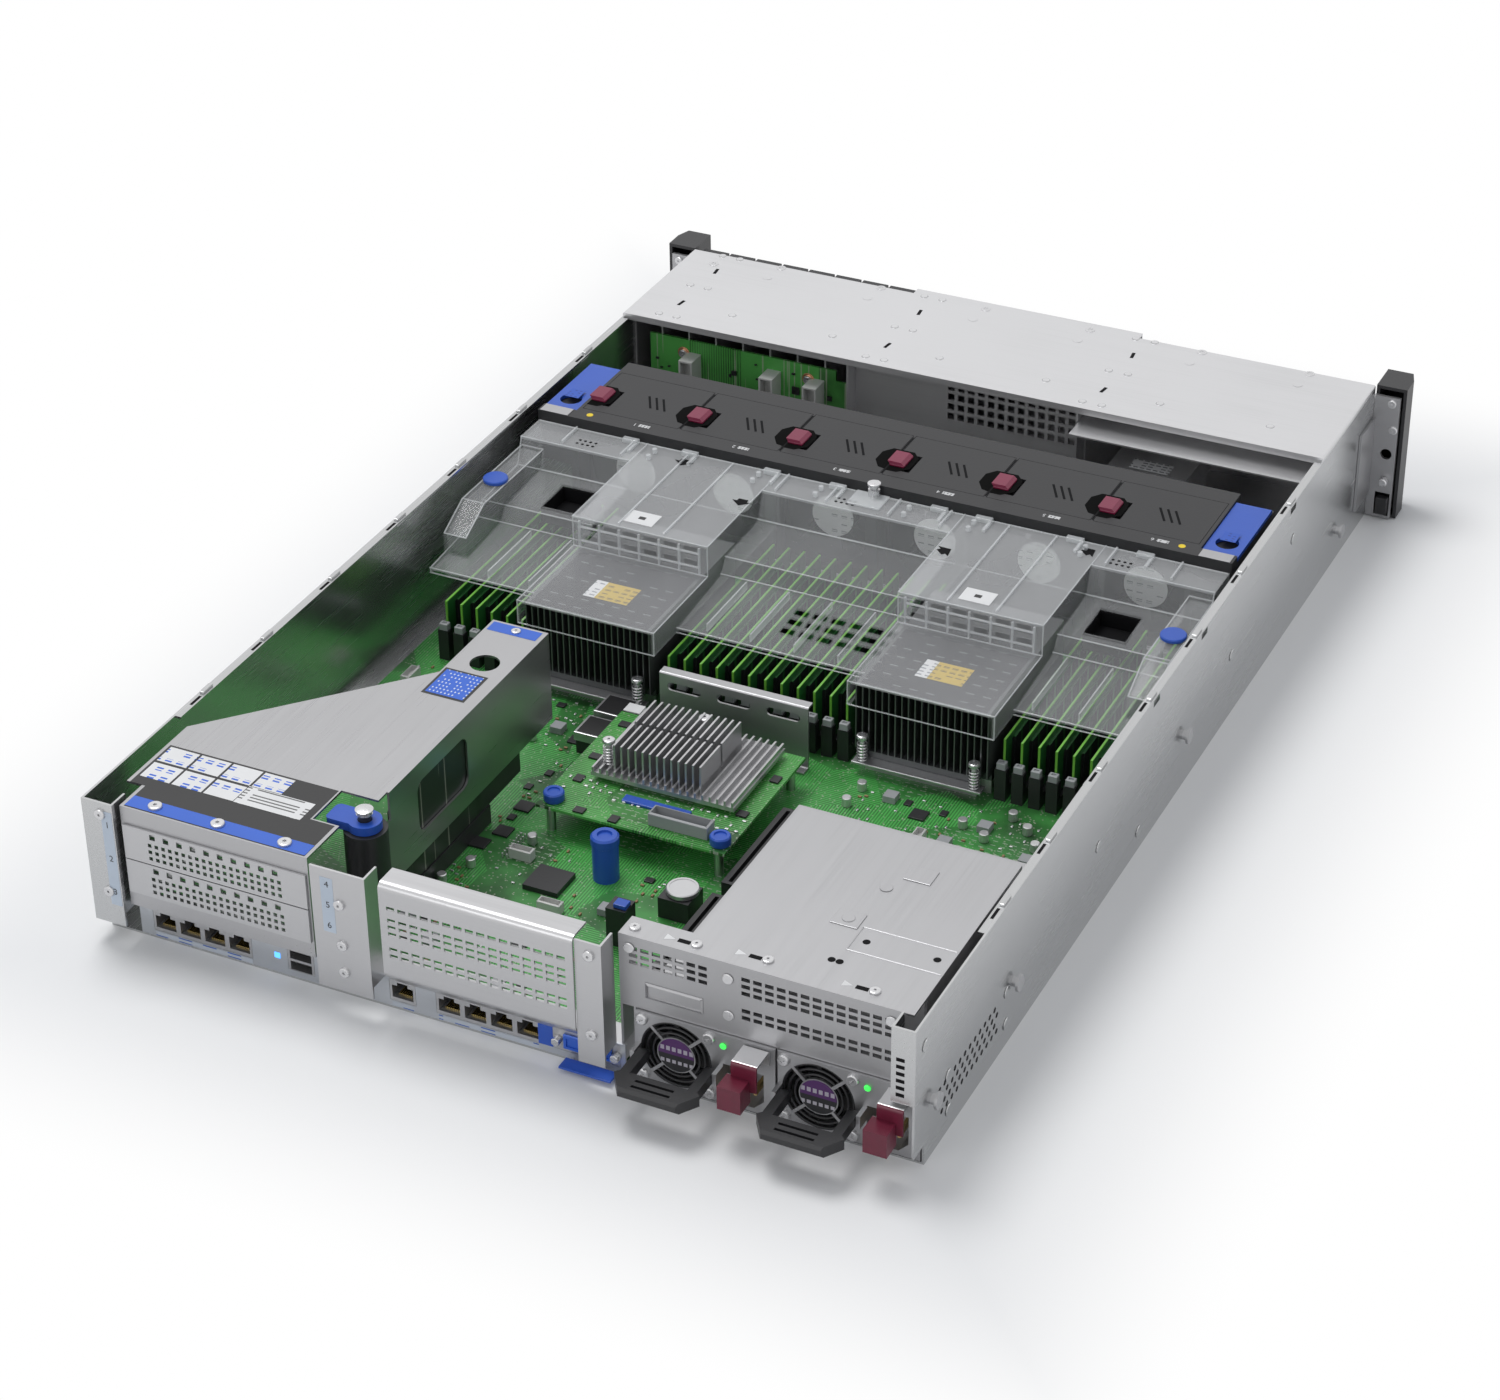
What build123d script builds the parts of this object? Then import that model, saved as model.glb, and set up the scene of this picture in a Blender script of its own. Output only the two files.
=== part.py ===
"""Two-unit rack server seen with its access cover lifted off, as an assembly of named parts.

X runs across the rack, Y runs from the drive bays (-Y) to the rear sockets (+Y) and Z is up.
The origin is the middle of the underside of the case.  All sizes are millimetres.
"""
import os
from build123d import *

os.makedirs("parts", exist_ok=True)

# Case
case_width = 445.4
case_height = 87.3
case_length = 700.0
ear_depth = 24.0
rack_width = 482.6
sheet = 1.2
deck_z = 83.0
wall_top = 84.6
roof_length = 98.0
flange_depth = 12.0
running_gap = 0.3
seat_gap = 0.15

# System board
floor_gap = 2.2
board_thickness = 1.6

# Cooling
fan_count = 6
fan_pitch = 63.5
fan_size = 60.0
fan_depth = 38.0
fan_row_y = -138.0
rotor_blades = 7

# Processors and memory
cpu_offset = 99.0
sink_width = 76.0
sink_length = 106.0
sink_rear_y = 56.0
sink_top = 57.0
dimm_length = 133.35
dimm_height = 31.25
dimm_thickness = 1.2
dimm_pitch = 9.65
dimm_rear_y = 49.0
bank_size = 6

# Power supplies
psu_width = 72.0
psu_height = 40.4
psu_length = 185.0
psu_pitch = 73.4
psu_face_y = 338.0
psu_fan_bore = 37.0

# Rear panels
io_height = 18.6
jack_width = 14.4
jack_opening = 11.7
slot_pitch = 20.3

half_width = case_width / 2
rear_y = case_length / 2
front_y = -rear_y
ear_y = front_y + ear_depth
inner_x = half_width - sheet
psu_floor_z = sheet + running_gap
psu_roof_z = psu_floor_z + psu_height + running_gap
roof_rear_y = ear_y + roof_length
io_y = rear_y - flange_depth
board_top = sheet + floor_gap + board_thickness
board_under = board_top - board_thickness


def block(x_range, y_range, z_range, mode=Mode.ADD):
    """A box between two values along each axis, joined to or cut from the piece being made."""
    sizes = [abs(pair[1] - pair[0]) for pair in (x_range, y_range, z_range)]
    middle = [(pair[0] + pair[1]) / 2 for pair in (x_range, y_range, z_range)]
    with Locations(tuple(middle)):
        Box(*sizes, mode=mode)


def around(centre, size):
    """The pair of values half a size each side of a centre."""
    return (centre - size / 2, centre + size / 2)


def save(piece, name):
    """Name a finished piece and write it as its own STEP file."""
    piece.part.label = name
    export_step(piece.part, f"parts/{name}.step")


# The tray is one folded sheet: floor, two side walls and the hems that the cover slides under.
hem_width = 4.6
hem_front_y = roof_rear_y + 2.0
hem_rear_y = 268.0
column_width = 18.0
psu_column_width = 12.0
column_foot_z = 12.0
standoff_radius = 3.0
wall_vent = 3.4
wall_vent_pitch = 6.0
wall_vent_rows = 4
wall_vent_columns = 12
wall_vent_y = 285.0
wall_vent_z = 17.0
key_slot_length = 9.0
key_slot_height = 5.0
key_slot_places = (-176.0, -30.0, 42.0)
wall_vent_rise = 4.8
standoff_pitch = 130.0
# Each row of three board standoffs: its middle X and its Y.
standoff_rows = [(0.0, -70.0), (70.0, 110.0), (70.0, 310.0)]

with BuildPart() as tray:
    tray_y = (ear_y, io_y)
    block((-half_width, half_width), tray_y, (0, wall_top))
    faces_left_open = [
        tray.faces().sort_by(Axis.Z)[-1],
        tray.faces().sort_by(Axis.Y)[0],
        tray.faces().sort_by(Axis.Y)[-1],
    ]
    offset(amount=-sheet, openings=faces_left_open, kind=Kind.INTERSECTION)
    for side, width, foot in ((1, column_width, column_foot_z), (-1, psu_column_width, psu_roof_z)):
        wall_x = (side * half_width, side * inner_x)
        hem_x = (side * half_width, side * (half_width - hem_width))
        column_x = (side * half_width, side * (half_width - width))
        inner_column_x = (side * (half_width - width), side * (half_width - width + sheet))
        block(hem_x, (hem_front_y, hem_rear_y), (wall_top - sheet, wall_top))
        block(wall_x, (io_y, rear_y), (column_foot_z, wall_top))
        block(column_x, (rear_y - sheet, rear_y), (foot, wall_top))
        block(inner_column_x, (io_y, rear_y), (max(foot, io_height + sheet), wall_top))
        for key_y in key_slot_places:
            key_slot_z = (wall_top - key_slot_height, wall_top - sheet)
            block(wall_x, around(key_y, key_slot_length), key_slot_z, Mode.SUBTRACT)
    with BuildSketch(Plane.YZ.offset(-half_width)):
        for row in range(wall_vent_rows):
            row_shift = wall_vent_pitch / 2 * (row % 2)
            with Locations((wall_vent_y + row_shift, wall_vent_z + row * wall_vent_rise)):
                with GridLocations(wall_vent_pitch, wall_vent_pitch, wall_vent_columns, 1):
                    RegularPolygon(wall_vent / 2, 6)
    extrude(amount=sheet, mode=Mode.SUBTRACT)
    with Locations([(x, y, (sheet + board_under) / 2) for x, y in standoff_rows]):
        with GridLocations(standoff_pitch, standoff_pitch, 3, 1):
            Cylinder(standoff_radius, board_under - sheet)
save(tray, "chassis_tray")

# The roof over the drive bays, with short skirts that lap the side walls.
roof_bend = 1.1
rivet_rise = 0.3
rivet_radius = 2.1
rivet_sides = 12
# The rivets of the roof: a pair above each bay, in three rows, and one more beside each screw.
rivet_pair_x = (196.0, 58.0, -80.0)
rivet_pair_gap = 12.0
rivet_pair_rows = (-324.5, -279.0, -236.0)
rivet_single_x = (160.0, 93.0, 23.0, -45.0, -116.0, -183.0)
rivet_single_y = -252.0
with BuildPart() as roof:
    roof_top = case_height - rivet_rise
    block((-half_width, half_width), (ear_y, roof_rear_y), (wall_top, roof_top))
    lower = roof.faces().sort_by(Axis.Z)[0]
    ends = [roof.faces().sort_by(Axis.Y)[0], roof.faces().sort_by(Axis.Y)[-1]]
    offset(amount=-sheet, openings=[lower] + ends, kind=Kind.INTERSECTION)
    block((-half_width, half_width), (roof_rear_y - sheet, roof_rear_y), (deck_z, roof_top - sheet))
    block((inner_x, half_width), (ear_y, roof_rear_y), (deck_z, wall_top), Mode.SUBTRACT)
    block((-half_width, -inner_x), (ear_y, roof_rear_y), (deck_z, wall_top), Mode.SUBTRACT)
    lip = roof.edges().filter_by(Axis.Y).group_by(Axis.Z)[-1]
    fillet(lip, radius=roof_bend)
    with BuildSketch(Plane.XY.offset(roof_top)):
        with Locations([(x, y) for x in rivet_pair_x for y in rivet_pair_rows]):
            with GridLocations(rivet_pair_gap, rivet_pair_gap, 2, 1):
                RegularPolygon(rivet_radius, rivet_sides)
        with Locations([(x, rivet_single_y) for x in rivet_single_x]):
            RegularPolygon(rivet_radius, rivet_sides)
    extrude(amount=rivet_rise)
save(roof, "drive_bay_roof")

# The drive bays: three equal openings parted by two sheets, the middle one closed by a vented panel.
bay_edge = inner_x / 3
bay_rear_y = -242.0
grille_hole = 4.2
grille_pitch = 6.4
grille_rows = 4
grille_columns = 13
grille_x = -28.0
grille_z = 66.0
panel_depth = 12.0
bezel_depth = 11.0

with BuildPart() as bay_frame:
    for side in (1, -1):
        sheet_x = (side * bay_edge, side * (bay_edge - sheet))
        block(sheet_x, (ear_y, bay_rear_y + panel_depth), (sheet, wall_top))
    block((-bay_edge, bay_edge), (bay_rear_y, bay_rear_y + sheet), (sheet, wall_top))
    block((-bay_edge, bay_edge), (ear_y - bezel_depth, ear_y - bezel_depth + sheet), (sheet, wall_top))
    for level in (sheet, wall_top - sheet):
        block((-bay_edge, bay_edge), (ear_y - bezel_depth, ear_y + panel_depth), (level, level + sheet))
    with BuildSketch(Plane.XZ.offset(-bay_rear_y - sheet)):
        with Locations((grille_x, grille_z)):
            with GridLocations(grille_pitch, grille_pitch, grille_columns, grille_rows):
                Rectangle(grille_hole, grille_hole)
    extrude(amount=sheet, mode=Mode.SUBTRACT)
save(bay_frame, "bay_frame")

# The small-drive cage fills the bay on the +X side; its eight bays hold plain blanks.
drive_count = 8
cage_wall = 1.0
cage_x = (bay_edge + seat_gap, inner_x - seat_gap)
cage_z = (sheet + seat_gap, wall_top - seat_gap)
cage_y = (ear_y, bay_rear_y + cage_wall)
drive_pitch = (cage_x[1] - cage_x[0] - cage_wall) / drive_count
drive_width = drive_pitch - cage_wall - 2 * running_gap
blank_length = 62.0
grip_depth = 6.0
grip_height = 46.0

with BuildPart() as drive_cage:
    block(cage_x, cage_y, cage_z)
    for place in range(drive_count):
        bay_x = (cage_x[0] + cage_wall + place * drive_pitch, cage_x[0] + (place + 1) * drive_pitch)
        block(bay_x, cage_y, (cage_z[0] + cage_wall, cage_z[1] - cage_wall), Mode.SUBTRACT)
save(drive_cage, "sff_drive_cage")

with BuildPart() as drive_blanks:
    for place in range(drive_count):
        centre_x = cage_x[0] + cage_wall / 2 + (place + 0.5) * drive_pitch
        blank_z = (cage_z[0] + cage_wall + running_gap, cage_z[1] - cage_wall - running_gap)
        blank_x = around(centre_x, drive_width)
        block(blank_x, (ear_y - bezel_depth, ear_y - bezel_depth + blank_length), blank_z)
        grip_x = around(centre_x, drive_width / 2)
        grip_z = around(sum(blank_z) / 2, grip_height)
        block(grip_x, (ear_y - bezel_depth, ear_y - bezel_depth + grip_depth), grip_z, Mode.SUBTRACT)
save(drive_blanks, "drive_blanks")

# The media bay on the -X side: a tray for a slim disc drive above a closed module.
media_x = (-inner_x + seat_gap, -bay_edge - seat_gap)
media_top = 76.0
media_rear_y = -215.0
media_box_x = (-146.0, -98.0)
media_box_z = (46.0, 60.0)
disc_slot_width = 118.0
disc_slot_height = 5.0
disc_slot_z = 68.0

with BuildPart() as media_bay:
    block(media_x, (ear_y - bezel_depth, media_rear_y), (sheet + seat_gap, media_top))
    walls_left_open = [media_bay.faces().sort_by(Axis.Y)[-1]]
    offset(amount=-cage_wall, openings=walls_left_open, kind=Kind.INTERSECTION)
    block(media_x, (bay_rear_y, media_rear_y), (sheet + seat_gap, media_top - cage_wall), Mode.SUBTRACT)
    front_face = (ear_y - bezel_depth, ear_y - bezel_depth + cage_wall)
    disc_x = around(sum(media_x) / 2, disc_slot_width)
    block(disc_x, front_face, around(disc_slot_z, disc_slot_height), Mode.SUBTRACT)
    block(media_box_x, (ear_y, media_rear_y - cage_wall), media_box_z)
    block(media_box_x, (bay_rear_y - panel_depth, bay_rear_y), (sheet + seat_gap + cage_wall, media_box_z[0]))
save(media_bay, "media_bay")

# The drive backplane stands behind the cage and carries three sockets.
backplane_x = (78.0, 210.0)
backplane_z = (12.0, 71.0)
backplane_y = bay_rear_y + cage_wall + seat_gap
backplane_notch = 7.0
socket_places = (180.0, 126.0, 97.0)
socket_width = 9.0
socket_height = 22.0
socket_depth = 13.0
socket_top_gap = 8.0

with BuildPart() as backplane:
    block(backplane_x, (backplane_y, backplane_y + board_thickness), backplane_z)
    notch_x = (backplane_x[0], backplane_x[0] + backplane_notch)
    notch_z = (backplane_z[1] - backplane_notch, backplane_z[1])
    block(notch_x, (backplane_y, backplane_y + board_thickness), notch_z, Mode.SUBTRACT)
save(backplane, "drive_backplane")

socket_y = (backplane_y + board_thickness, backplane_y + board_thickness + socket_depth)
socket_z = (backplane_z[1] - socket_top_gap - socket_height, backplane_z[1] - socket_top_gap)
with BuildPart() as backplane_sockets:
    for centre_x in socket_places:
        block(around(centre_x, socket_width), socket_y, socket_z)
        hollow_x = around(centre_x, socket_width - 2 * cage_wall)
        hollow_z = (socket_z[0] + cage_wall, socket_z[1] - cage_wall)
        block(hollow_x, (socket_y[0] + socket_depth / 2, socket_y[1]), hollow_z, Mode.SUBTRACT)
save(backplane_sockets, "backplane_sockets")

# Rack ears: a folded plate each side that the rack posts carry, under a moulded cover with a release lever.
ear_plate = 2.0
ear_height = 81.0
ear_base_z = 0.8
ear_inset = 3.0
rack_hole_spacing = 465.1
ear_tab_length = 26.0
ear_tab = 1.5
screw_hole = 3.4
ear_hole_z = 43.5
ear_slot_width = 9.0
ear_slot_height = 15.0
ear_slot_z = 10.0
cover_wall = 2.0
cover_top = 86.6
cover_taper = 9.0
lever_length = 44.0
lever_width = 10.0
lever_thickness = 3.0
lever_z = 40.0
cover_side_taper = 3.0
button_radius = 3.6
button_z = 74.0
button_proud = 0.6
button_flange = 1.0
ear_outer_x = rack_width / 2
ear_front_y = ear_y - ear_plate

for side, name in ((1, "right"), (-1, "left")):
    with BuildPart() as ear:
        ear_x = (side * (half_width + seat_gap), side * (ear_outer_x - ear_inset))
        block(ear_x, (ear_front_y, ear_y), (ear_base_z, ear_height))
        tab_x = (side * (half_width + seat_gap), side * (half_width + seat_gap + ear_tab))
        tab_z = (ear_base_z + ear_slot_height, ear_height - ear_slot_height)
        block(tab_x, (ear_y, ear_y + ear_tab_length), tab_z)
        slot_x = around(side * rack_hole_spacing / 2, ear_slot_width)
        block(slot_x, (ear_front_y, ear_y), around(ear_slot_z, ear_slot_height), Mode.SUBTRACT)
        with Locations(Plane.XZ.offset(-ear_y)):
            with Locations((side * rack_hole_spacing / 2, ear_hole_z)):
                Hole(screw_hole)
    save(ear, f"rack_ear_{name}")

    cover_y = (front_y, ear_front_y - seat_gap)
    cover_x = (side * (half_width + seat_gap), side * ear_outer_x)
    lever_inner_x = half_width + cover_wall + seat_gap
    lever_x = (side * lever_inner_x, side * (lever_inner_x + lever_width))
    pocket_x = (lever_x[0] - side * running_gap, lever_x[1] + side * running_gap)
    with BuildPart() as cover:
        with BuildSketch(Plane.XY.offset(ear_base_z)):
            with BuildLine():
                Polyline(
                    (cover_x[0], cover_y[1]),
                    (cover_x[1], cover_y[1]),
                    (cover_x[1], cover_y[0] + cover_taper),
                    (cover_x[1] - side * cover_side_taper, cover_y[0]),
                    (cover_x[0], cover_y[0]),
                    close=True,
                )
            make_face()
        extrude(amount=cover_top - ear_base_z)
        foot = cover.edges().filter_by(Axis.X).group_by(Axis.Z)[0].sort_by(Axis.Y)[0]
        chamfer(foot, length=cover_taper)
        back_face = cover.faces().sort_by(Axis.Y)[-1]
        offset(amount=-cover_wall, openings=[back_face], kind=Kind.INTERSECTION)
        pocket_z = around(lever_z, lever_length + 2 * running_gap)
        block(pocket_x, (front_y, front_y + cover_wall), pocket_z, Mode.SUBTRACT)
        shelf_x = (cover_x[0], pocket_x[1] + side * cover_wall)
        shelf_start_y = front_y + lever_thickness + running_gap
        shelf_y = (shelf_start_y, shelf_start_y + cover_wall)
        block(shelf_x, shelf_y, around(lever_z, lever_length + 2 * cover_wall))
        for end in (1, -1):
            wall_z = lever_z + end * (lever_length / 2 + running_gap)
            block(shelf_x, (front_y, shelf_y[1]), (wall_z, wall_z + end * cover_wall))
        if side > 0:
            with Locations(Plane.XZ.offset(-front_y)):
                with Locations((sum(lever_x) / 2, button_z)):
                    Hole(button_radius + running_gap, depth=cover_wall)
    save(cover, f"ear_cover_{name}")

    with BuildPart() as lever:
        lever_front = (front_y, front_y + lever_thickness)
        block(lever_x, lever_front, around(lever_z, lever_length))
        hinge_x = lever_x[0] + side * lever_thickness / 2
        hinge_y = front_y + lever_thickness / 2
        with Locations((hinge_x, hinge_y, lever_z)):
            Cylinder(lever_thickness / 2, lever_length)
        hinge_side_x = (lever_x[0], hinge_x)
        block(hinge_side_x, lever_front, around(lever_z, lever_length), Mode.SUBTRACT)
        with Locations((hinge_x, hinge_y, lever_z)):
            Cylinder(lever_thickness / 2, lever_length)
        pull_x = (lever_x[1], lever_x[1] - side * lever_thickness)
        pull_z = around(lever_z, lever_length / 3)
        block(pull_x, (front_y, front_y + lever_thickness / 2), pull_z, Mode.SUBTRACT)
    save(lever, f"ear_lever_{name}")

with BuildPart() as power_button:
    button_x = half_width + cover_wall + seat_gap + lever_width / 2
    with BuildSketch(Plane.XZ.offset(-front_y + button_proud)):
        with Locations((button_x, button_z)):
            Circle(button_radius)
    extrude(amount=-(cover_wall + button_proud + running_gap))
    with BuildSketch(Plane.XZ.offset(-front_y - cover_wall - running_gap)):
        with Locations((button_x, button_z)):
            Circle(button_radius + button_flange)
    extrude(amount=-button_flange)
save(power_button, "power_button")


def folded_sheet(plane, points, bend_radius, length, thickness=sheet):
    """A sheet folded along a line of points and pulled out square to the plane of the line."""
    with BuildSketch(plane) as section:
        with BuildLine():
            FilletPolyline(*points, radius=bend_radius)
            offset(amount=thickness, side=Side.LEFT, kind=Kind.INTERSECTION)
        make_face()
    extrude(section.sketch, amount=length)


# The system board is an L: full width under the memory, narrower beside the power supplies.
board_edge = 9.0
board_front_y = -97.0
psu_front_y = psu_face_y - psu_length
psu_bay_edge = -(inner_x - 2 * psu_pitch - sheet)
board_half = inner_x - board_edge

with BuildPart() as board:
    with BuildSketch(Plane.XY.offset(board_under)):
        with BuildLine():
            Polyline(
                (-board_half, board_front_y),
                (board_half, board_front_y),
                (board_half, psu_face_y - flange_depth),
                (psu_bay_edge + board_edge, psu_face_y - flange_depth),
                (psu_bay_edge + board_edge, psu_front_y - board_edge),
                (-board_half, psu_front_y - board_edge),
                close=True,
            )
        make_face()
    extrude(amount=board_thickness)
    fillet(board.edges().filter_by(Axis.Z), radius=board_edge / 4)
save(board, "system_board")

# Two processors under finned coolers, each on a socket frame with four spring screws.
socket_frame_height = 8.0
sink_base = 4.0
fin_thickness = 0.7
fin_count = 21
cap_thickness = 0.8
spring_inset = 6.0
sink_y = (sink_rear_y - sink_length, sink_rear_y)
sink_base_z = board_top + socket_frame_height

with BuildPart() as cpu_sockets:
    for side in (1, -1):
        block(around(side * cpu_offset, sink_width), sink_y, (board_top, sink_base_z))
        with Locations((side * cpu_offset, sum(sink_y) / 2, board_top + socket_frame_height / 2)):
            with GridLocations(sink_width - spring_inset, sink_length - spring_inset, 2, 2):
                Box(spring_inset, spring_inset, socket_frame_height, mode=Mode.SUBTRACT)
save(cpu_sockets, "cpu_sockets")

fin_pitch = (sink_width - fin_thickness) / (fin_count - 1)
for number, side in ((1, 1), (2, -1)):
    with BuildPart() as sink:
        with BuildSketch(Plane.XZ.offset(-sink_rear_y)):
            with Locations((side * cpu_offset, (sink_base_z + sink_top) / 2)):
                Rectangle(sink_width, sink_top - sink_base_z)
                channel_z = (sink_base - cap_thickness) / 2
                with Locations((0, channel_z)):
                    with GridLocations(fin_pitch, 1, fin_count - 1, 1):
                        channel_height = sink_top - sink_base_z - sink_base - cap_thickness
                        Rectangle(fin_pitch - fin_thickness, channel_height, mode=Mode.SUBTRACT)
        extrude(amount=sink_length)
        with Locations((side * cpu_offset, sum(sink_y) / 2, sink_base_z + sink_base / 2)):
            with GridLocations(sink_width - spring_inset, sink_length - spring_inset, 2, 2):
                Box(spring_inset, spring_inset, sink_base, mode=Mode.SUBTRACT)
    save(sink, f"cpu_heatsink_{number}")

# Twenty-four memory modules in three banks, each in a socket with a latch at both ends.
dimm_socket_width = 6.4
dimm_socket_height = 8.0
dimm_seat = 4.0
latch_length = 5.0
latch_height = 19.0
chip_length = 112.0
chip_height = 19.0
chip_thickness = 1.3
key_notch = 2.0
dimm_bottom = board_top + dimm_seat
dimm_y = (dimm_rear_y - dimm_length, dimm_rear_y)
bank_centre = cpu_offset + sink_width / 2 + dimm_socket_width + (bank_size - 1) * dimm_pitch / 2
outer_bank = [bank_centre + (place - (bank_size - 1) / 2) * dimm_pitch for place in range(bank_size)]
inner_bank = [(place - (2 * bank_size - 1) / 2) * dimm_pitch for place in range(2 * bank_size)]
dimm_places = outer_bank + inner_bank + [-place for place in outer_bank]

with BuildPart() as dimm_sockets:
    for dimm_x in dimm_places:
        socket_side = dimm_x - dimm_socket_width / 2
        with BuildSketch(Plane.YZ.offset(socket_side)):
            with BuildLine():
                Polyline(
                    (dimm_y[0] - running_gap - latch_length, board_top),
                    (dimm_y[1] + running_gap + latch_length, board_top),
                    (dimm_y[1] + running_gap + latch_length, board_top + latch_height),
                    (dimm_y[1] + running_gap, board_top + latch_height),
                    (dimm_y[1] + running_gap, board_top + dimm_socket_height),
                    (dimm_y[0] - running_gap, board_top + dimm_socket_height),
                    (dimm_y[0] - running_gap, board_top + latch_height),
                    (dimm_y[0] - running_gap - latch_length, board_top + latch_height),
                    close=True,
                )
            make_face()
        extrude(amount=dimm_socket_width)
        slot_x = around(dimm_x, dimm_thickness + 2 * seat_gap)
        block(slot_x, dimm_y, (dimm_bottom, board_top + dimm_socket_height), Mode.SUBTRACT)
save(dimm_sockets, "dimm_sockets")

with BuildPart() as dimm_modules:
    for dimm_x in dimm_places:
        with BuildSketch(Plane.YZ.offset(dimm_x - dimm_thickness / 2)):
            with Locations((sum(dimm_y) / 2, dimm_bottom + dimm_height / 2)):
                Rectangle(dimm_length, dimm_height)
            with Locations([(end, board_top + latch_height - key_notch) for end in dimm_y]):
                Rectangle(key_notch, key_notch, mode=Mode.SUBTRACT)
        extrude(amount=dimm_thickness)
        chip_x = around(dimm_x, dimm_thickness + 2 * chip_thickness)
        chip_z = around(dimm_bottom + dimm_height / 2 + key_notch, chip_height)
        block(chip_x, around(sum(dimm_y) / 2, chip_length), chip_z)
save(dimm_modules, "dimm_modules")

# The storage controller sits on posts behind the memory, with a pin-and-plate cooler.
controller_x = (-45.0, 64.0)
controller_y = (84.0, 182.0)
controller_z = 21.0
cooler_x = (-35.0, 48.0)
cooler_y = (88.0, 150.0)
cooler_base = 2.4
cooler_rise = 3.0
low_fin = 3.0
low_fin_count = 20
tall_fin_x = (-16.0, 38.0)
tall_fin_y = (98.0, 146.0)
tall_fin = 17.0
tall_fin_count = 13
cooler_fin = 1.1
post_radius = 2.5
post_inset = 6.0
fin_groove = 2.0

with BuildPart() as controller:
    block(controller_x, controller_y, (controller_z, controller_z + board_thickness))
    post_z = (board_top + controller_z) / 2
    with Locations((sum(controller_x) / 2, sum(controller_y) / 2, post_z)):
        spread_x = controller_x[1] - controller_x[0] - 2 * post_inset
        spread_y = controller_y[1] - controller_y[0] - 2 * post_inset
        with GridLocations(spread_x, spread_y, 2, 2):
            Cylinder(post_radius, controller_z - board_top)
save(controller, "storage_controller")

with BuildPart() as controller_cooler:
    base_z = controller_z + board_thickness + cooler_rise
    block(cooler_x, cooler_y, (base_z, base_z + cooler_base))
    block(tall_fin_x, tall_fin_y, (controller_z + board_thickness, base_z))
    fin_span = cooler_x[1] - cooler_x[0] - 2 * cooler_fin
    with BuildSketch(Plane.XY.offset(base_z + cooler_base)):
        with Locations((sum(cooler_x) / 2, sum(cooler_y) / 2)):
            with GridLocations(fin_span / (low_fin_count - 1), 1, low_fin_count, 1):
                Rectangle(cooler_fin, cooler_y[1] - cooler_y[0])
    extrude(amount=low_fin)
    tall_span = tall_fin_x[1] - tall_fin_x[0]
    with BuildSketch(Plane.XY.offset(base_z + cooler_base)):
        with Locations((sum(tall_fin_x) / 2, sum(tall_fin_y) / 2)):
            with GridLocations(tall_span / tall_fin_count, 1, tall_fin_count, 1):
                Rectangle(cooler_fin, tall_fin_y[1] - tall_fin_y[0])
    extrude(amount=tall_fin)
    groove_y = around(sum(tall_fin_y) / 2, fin_groove)
    groove_z = (base_z + cooler_base + low_fin, base_z + cooler_base + tall_fin)
    block(tall_fin_x, groove_y, groove_z, Mode.SUBTRACT)
save(controller_cooler, "storage_controller_heatsink")

# A slotted folded bracket stands between the memory and the storage controller.
bracket_x = (-40.0, 48.0)
bracket_y = 70.0
bracket_top = 44.0
bracket_flange = 6.0
bracket_slot_length = 20.0
bracket_slot_height = 5.0
bracket_slots = 3
bracket_slot_z = 36.0

with BuildPart() as mezzanine_bracket:
    bracket_line = [
        (bracket_y + bracket_flange, board_top + sheet),
        (bracket_y, board_top + sheet),
        (bracket_y, bracket_top),
        (bracket_y - bracket_flange, bracket_top),
    ]
    folded_sheet(Plane.YZ.offset(bracket_x[0]), bracket_line, sheet, bracket_x[1] - bracket_x[0])
    with BuildSketch(Plane.XZ.offset(-bracket_y - bracket_flange)):
        with Locations((sum(bracket_x) / 2, bracket_slot_z)):
            with GridLocations((bracket_x[1] - bracket_x[0]) / bracket_slots, 1, bracket_slots, 1):
                SlotOverall(bracket_slot_length, bracket_slot_height)
    extrude(amount=2 * bracket_flange, mode=Mode.SUBTRACT)
save(mezzanine_bracket, "mezzanine_bracket")


# Long card connectors on the board, and the larger board parts.
slot_height = 11.0
slot_width = 8.0
slot_groove = 2.2
# Each card slot: its X, and where it starts and ends along Y.
card_slots = [(-54.0, 122.0, 196.0), (-54.0, 206.0, 300.0), (93.6, 184.0, 262.0)]
# Each chip: its X, its Y, the length of its sides and how far it rises.
chip_places = [(36.0, 220.0, 20.0, 3.0), (-20.0, 248.0, 11.0, 22.0), (-36.0, 214.0, 17.0, 12.0)]
cable_sockets = [(72.0, 75.0), (72.0, 98.0)]
cable_socket_size = 17.0
cable_socket_height = 12.0
lift_post = (12.0, 203.0)
lift_post_radius = 6.5
lift_post_top = 30.0

with BuildPart() as card_connectors:
    for slot_x, slot_start, slot_end in card_slots:
        block(around(slot_x, slot_width), (slot_start, slot_end), (board_top, board_top + slot_height))
        groove_y = (slot_start + slot_groove, slot_end - slot_groove)
        groove_z = (board_top + slot_height / 2, board_top + slot_height)
        block(around(slot_x, slot_groove), groove_y, groove_z, Mode.SUBTRACT)
save(card_connectors, "card_connectors")

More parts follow.
